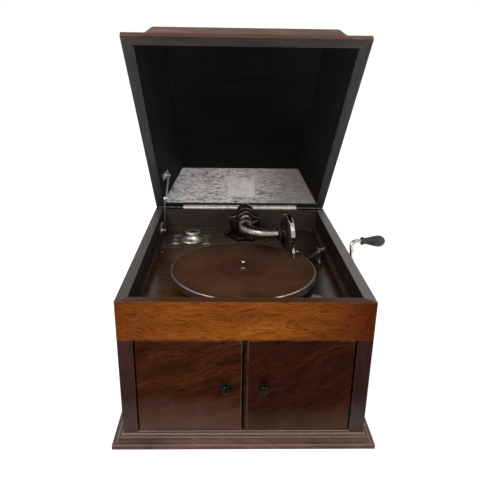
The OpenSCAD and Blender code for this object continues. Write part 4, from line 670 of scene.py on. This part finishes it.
# Screws of the hinge, sunk flush in the case's leaf
SCREWS, SCREW_INSET = 11, 4 * MM
SCREW_R, SCREW_DEEP, SCREW_PROUD = 2.0 * MM, 0.3 * MM, 0.03 * MM
screw_outline = [(SCREW_R, 0.0), (SCREW_R, SCREW_DEEP), (0.85 * SCREW_R, SCREW_DEEP + SCREW_PROUD)]
leaf_z = level_of("case_hinge_leaf", Z)
screws = bmesh.new()
for k in range(SCREWS):
    x = leaf_low.x + (leaf_high.x - leaf_low.x) * (k + 0.5) / SCREWS
    turned(screws, Vector((x, leaf_low.y + SCREW_INSET, leaf_z - SCREW_DEEP)), screw_outline, sides=16)
piece("hinge_screw_heads", screws, blackened_steel_and_hole_shade, "case")

# Steel needles lying in the bowl, which is hollowed about a point over the board: both ends of a needle
# are equally far from that point, and each needle lies a little closer to it than the one before
NEEDLES, NEEDLE_HALF = 34, 8 * MM
BOWL_FLANGE_R, BOWL_POINT = 23 * MM, 8 * MM
LOWEST, PILE_STEP = 15.6 * MM, 0.045 * MM
NEEDLE_MM = ((0.5, -8.0), (0.7, -7.6), (0.7, 3.0), (0.5, 5.5), (0.06, 8.0))
needle_outline = [(r * MM, t * MM) for r, t in NEEDLE_MM]
cups_low, cups_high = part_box("needle_cups")
cup_x = (cups_low.x + cups_high.x) / 2
board_z = level_of("tonearm_board", Z)
bowl = Vector((cup_x, cups_low.y + BOWL_FLANGE_R, board_z + BOWL_POINT))
needles = bmesh.new()
for k in range(NEEDLES):
    end_at = LOWEST - PILE_STEP * k
    heading = Vector((random.gauss(0, 0.20), random.gauss(0, 0.20), -1)).normalized()
    along = heading.cross(Vector((random.uniform(-1, 1), random.uniform(-1, 1), 0.01))).normalized()
    middle = bowl + heading * math.sqrt(end_at ** 2 - NEEDLE_HALF ** 2)
    turned(needles, middle, needle_outline, sides=6, up=along, across=along.cross(heading))
piece("loose_needles", needles, bright_steel, "case")

# Mouth of the used needle cup: a flat dark oval, painted shade standing for the hole, with a rolled rim
USED_CUP_R, USED_CUP_TOP = 18 * MM, 4.1 * MM
MOUTH_R, MOUTH_HIGH, MOUTH_EASE, MOUTH_OVAL = 8.6 * MM, 0.35 * MM, 0.1 * MM, 0.62
mouth_outline = [(MOUTH_R, 0.0), (MOUTH_R, MOUTH_HIGH - MOUTH_EASE), (MOUTH_R - 0.6 * MM, MOUTH_HIGH)]
mouth = bmesh.new()
mouth_at = Vector((cup_x, cups_high.y - USED_CUP_R, board_z + USED_CUP_TOP))
turned(mouth, mouth_at, mouth_outline, sides=32, oval=MOUTH_OVAL)
piece("used_cup_mouth", mouth, blackened_steel_and_hole_shade, "case")

# Trays: two pairs of wells, darkened by a black sheet of painted shade at their bottom, bars between them,
# and a bright lid over the front end
TRAY_OUT = 32 * MM
SHADE_SHEET_DOWN, WELL_WIDE, WELL_GAP = 1.4 * MM, 13.6 * MM, 1.3 * MM
BAR_WIDE, BAR_UP, BAR_YS = 1.6 * MM, 1.1 * MM, (-2 * MM, 9 * MM, 20 * MM)
RIB_WIDE = 1.4 * MM
CAP_LEN, CAP_FORWARD = 15 * MM, 17.5 * MM
trays_low, trays_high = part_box("needle_trays")
shade_sheet_size = (WELL_WIDE, trays_high.y - trays_low.y - 2 * WELL_GAP)
rib_size = (RIB_WIDE, BAR_YS[2] - BAR_YS[0])
cap_size = (WELL_WIDE + 1 * MM, CAP_LEN)
for side, name in ((-1, "left_tray"), (1, "right_tray")):
    centre = Vector((cup_x + side * TRAY_OUT, (trays_low.y + trays_high.y) / 2, board_z - SHADE_SHEET_DOWN))
    # a black sheet of painted shade in the wells
    shade_sheet = bmesh.new()
    rounded_plate(shade_sheet, centre, shade_sheet_size, corner=1 * MM, thick=1.2 * MM, crown=-0.3 * MM)
    piece(name + "_shade_sheet", shade_sheet, cloth_tape_and_shade_sheet, "case")
    bars = bmesh.new()
    for y in BAR_YS:
        bar_at = centre + Vector((0, y, BAR_UP))
        rounded_plate(bars, bar_at, (WELL_WIDE, BAR_WIDE), corner=0.4 * MM, thick=1.0 * MM)
    rib_at = centre + Vector((0, BAR_YS[1], BAR_UP))
    rounded_plate(bars, rib_at, rib_size, corner=0.4 * MM, thick=0.9 * MM)
    piece(name + "_bars", bars, old_nickel, "case")
    cap = bmesh.new()
    cap_at = centre + Vector((0, -CAP_FORWARD, 1.0 * MM))
    rounded_plate(cap, cap_at, cap_size, corner=3 * MM, thick=1.4 * MM, crown=2.2 * MM)
    piece(name + "_lid", cap, nickel, "case")


# Finishes of the CAD nodes that stay

finishes = {
    "left_side_panel": side_oaks["left"], "right_side_panel": side_oaks["right"], "back_panel": back_oak,
    "front_rail": rail_oak, "stiles": post_oak, "base_board": plinth_oak, "plinth": plinth_oak,
    "motor_board": motor_board_oak, "tonearm_board": arm_board_oak, "well_beading": bead_oak,
    "board_cleats": pine, "horn_roof": pine, "horn_sides": pine,
    "horn_throat": japan, "tonearm_base": japan, "board_fixings": old_nickel,
    "needle_cups": cup_nickel, "needle_trays": cup_nickel, "brake_base": nickel, "brake_lever": nickel,
    "regulator_dial": nickel, "regulator_knob": nickel,
    "motor_top_plate": steel, "motor_bottom_plate": steel, "motor_pillars": steel,
    "spring_barrel": brass, "mainspring": steel, "winding_wheel": steel, "intermediate_gear": brass,
    "spindle": nickel, "platter": rim_nickel, "felt_mat": felt, "governor": brass, "governor_brake": steel,
    "winding_shaft": steel, "crank_escutcheon": nickel, "crank_arm": nickel, "crank_handle": ebonised,
    "lid_front_board": lid_front_oak, "lid_left_board": lid_side_oak, "lid_right_board": lid_side_oak,
    "lid_back_board": lid_back_oak, "lid_top_panel": lid_oak,
    "case_hinge_leaf": hinge_nickel, "lid_hinge_leaf": hinge_nickel, "stay_bracket": stay_nickel,
    "stay_lower_link": stay_nickel, "stay_upper_link": stay_nickel, "lid_stay_bracket": stay_nickel,
    "left_door": left_door_oak, "right_door": right_door_oak, "door_pins": steel,
    "left_knob": knob_bronze, "right_knob": knob_bronze,
    "tonearm": arm_nickel, "crook": crook_nickel, "soundbox": box_nickel,
    "diaphragm": mica, "needle_bar": nickel, "needle": steel,
}
for name, finish in finishes.items():
    mesh = nodes[name].data
    mesh.materials.clear()
    mesh.materials.append(finish)


# Stage, light and camera

FLOOR_SIZE, FLOOR_DROP, FLOOR_GLOW = 14, 0.5 * MM, 0.62
ROOM_LIGHT = 0.62


def seen_straight(tree):
    """1 for the rays that show the room to the eye or in a gloss, and 0 for those that light the object."""
    path = add(tree, "LightPath").outputs
    return add(tree, "Math", {0: path["Is Camera Ray"], 1: path["Is Glossy Ray"]}, operation="MAXIMUM")


def pale_floor():
    """Matt white paper that glows a little for the eye, so that it fades into the pale room."""
    material, tree, shader, _ = begin("pale_floor")
    glow = add(tree, "Math", {0: seen_straight(tree), 1: FLOOR_GLOW}, operation="MULTIPLY")
    fill(tree, shader, {
        "Base Color": "ededed", "Roughness": 0.9, "Specular IOR Level": 0.0,
        "Emission Color": "ffffff", "Emission Strength": glow,
    })
    return material


bpy.ops.mesh.primitive_plane_add(size=FLOOR_SIZE, location=(0, 0, -FLOOR_DROP))
floor = bpy.context.object
floor.name = "floor"
floor.data.materials.append(pale_floor())

world = bpy.data.worlds.new("pale_room")
bpy.context.scene.world = world
world.use_nodes = True
sky = world.node_tree
strength = add(sky, "MapRange", {"Value": seen_straight(sky), "To Min": ROOM_LIGHT, "To Max": 1.0})
fill(sky, sky.nodes["Background"], {"Color": "ffffff", "Strength": strength})


def soft_lamp(name, place, aim, size, watts):
    """A round lamp that looks at a point."""
    lamp = bpy.data.lights.new(name, "AREA")
    lamp.shape = "DISK"
    lamp.size = size
    lamp.energy = watts
    shown = bpy.data.objects.new(name, lamp)
    bpy.context.scene.collection.objects.link(shown)
    shown.location = place
    shown.rotation_mode = "QUATERNION"
    shown.rotation_quaternion = (aim - Vector(place)).to_track_quat("-Z", "Y")


case_middle = Vector((0, 0, 0.2))
soft_lamp("key", (-1.3, -1.6, 2.2), case_middle, size=1.2, watts=34)
soft_lamp("fill", (1.8, -1.4, 1.6), case_middle, size=1.6, watts=16)

# The camera stands where the photograph's stood, turned right, tipped down and rolled a little
EYE = Vector((-0.02762, -0.91204, 0.59339))
YAW, PITCH, ROLL = math.radians(1.43), math.radians(20.16), math.radians(0.83)
LENS, SENSOR = 39.11, 36
camera = bpy.data.cameras.new("camera")
camera.lens = LENS
camera.sensor_width = SENSOR
shot = bpy.data.objects.new("camera", camera)
bpy.context.scene.collection.objects.link(shot)
level_turn = Matrix.Rotation(-YAW, 4, "Z") @ Matrix.Rotation(math.radians(90) - PITCH, 4, "X")
shot.matrix_world = Matrix.Translation(EYE) @ level_turn @ Matrix.Rotation(ROLL, 4, "Z")
bpy.context.scene.camera = shot
bpy.context.scene.view_settings.view_transform = "Standard"

bpy.context.view_layer.update()
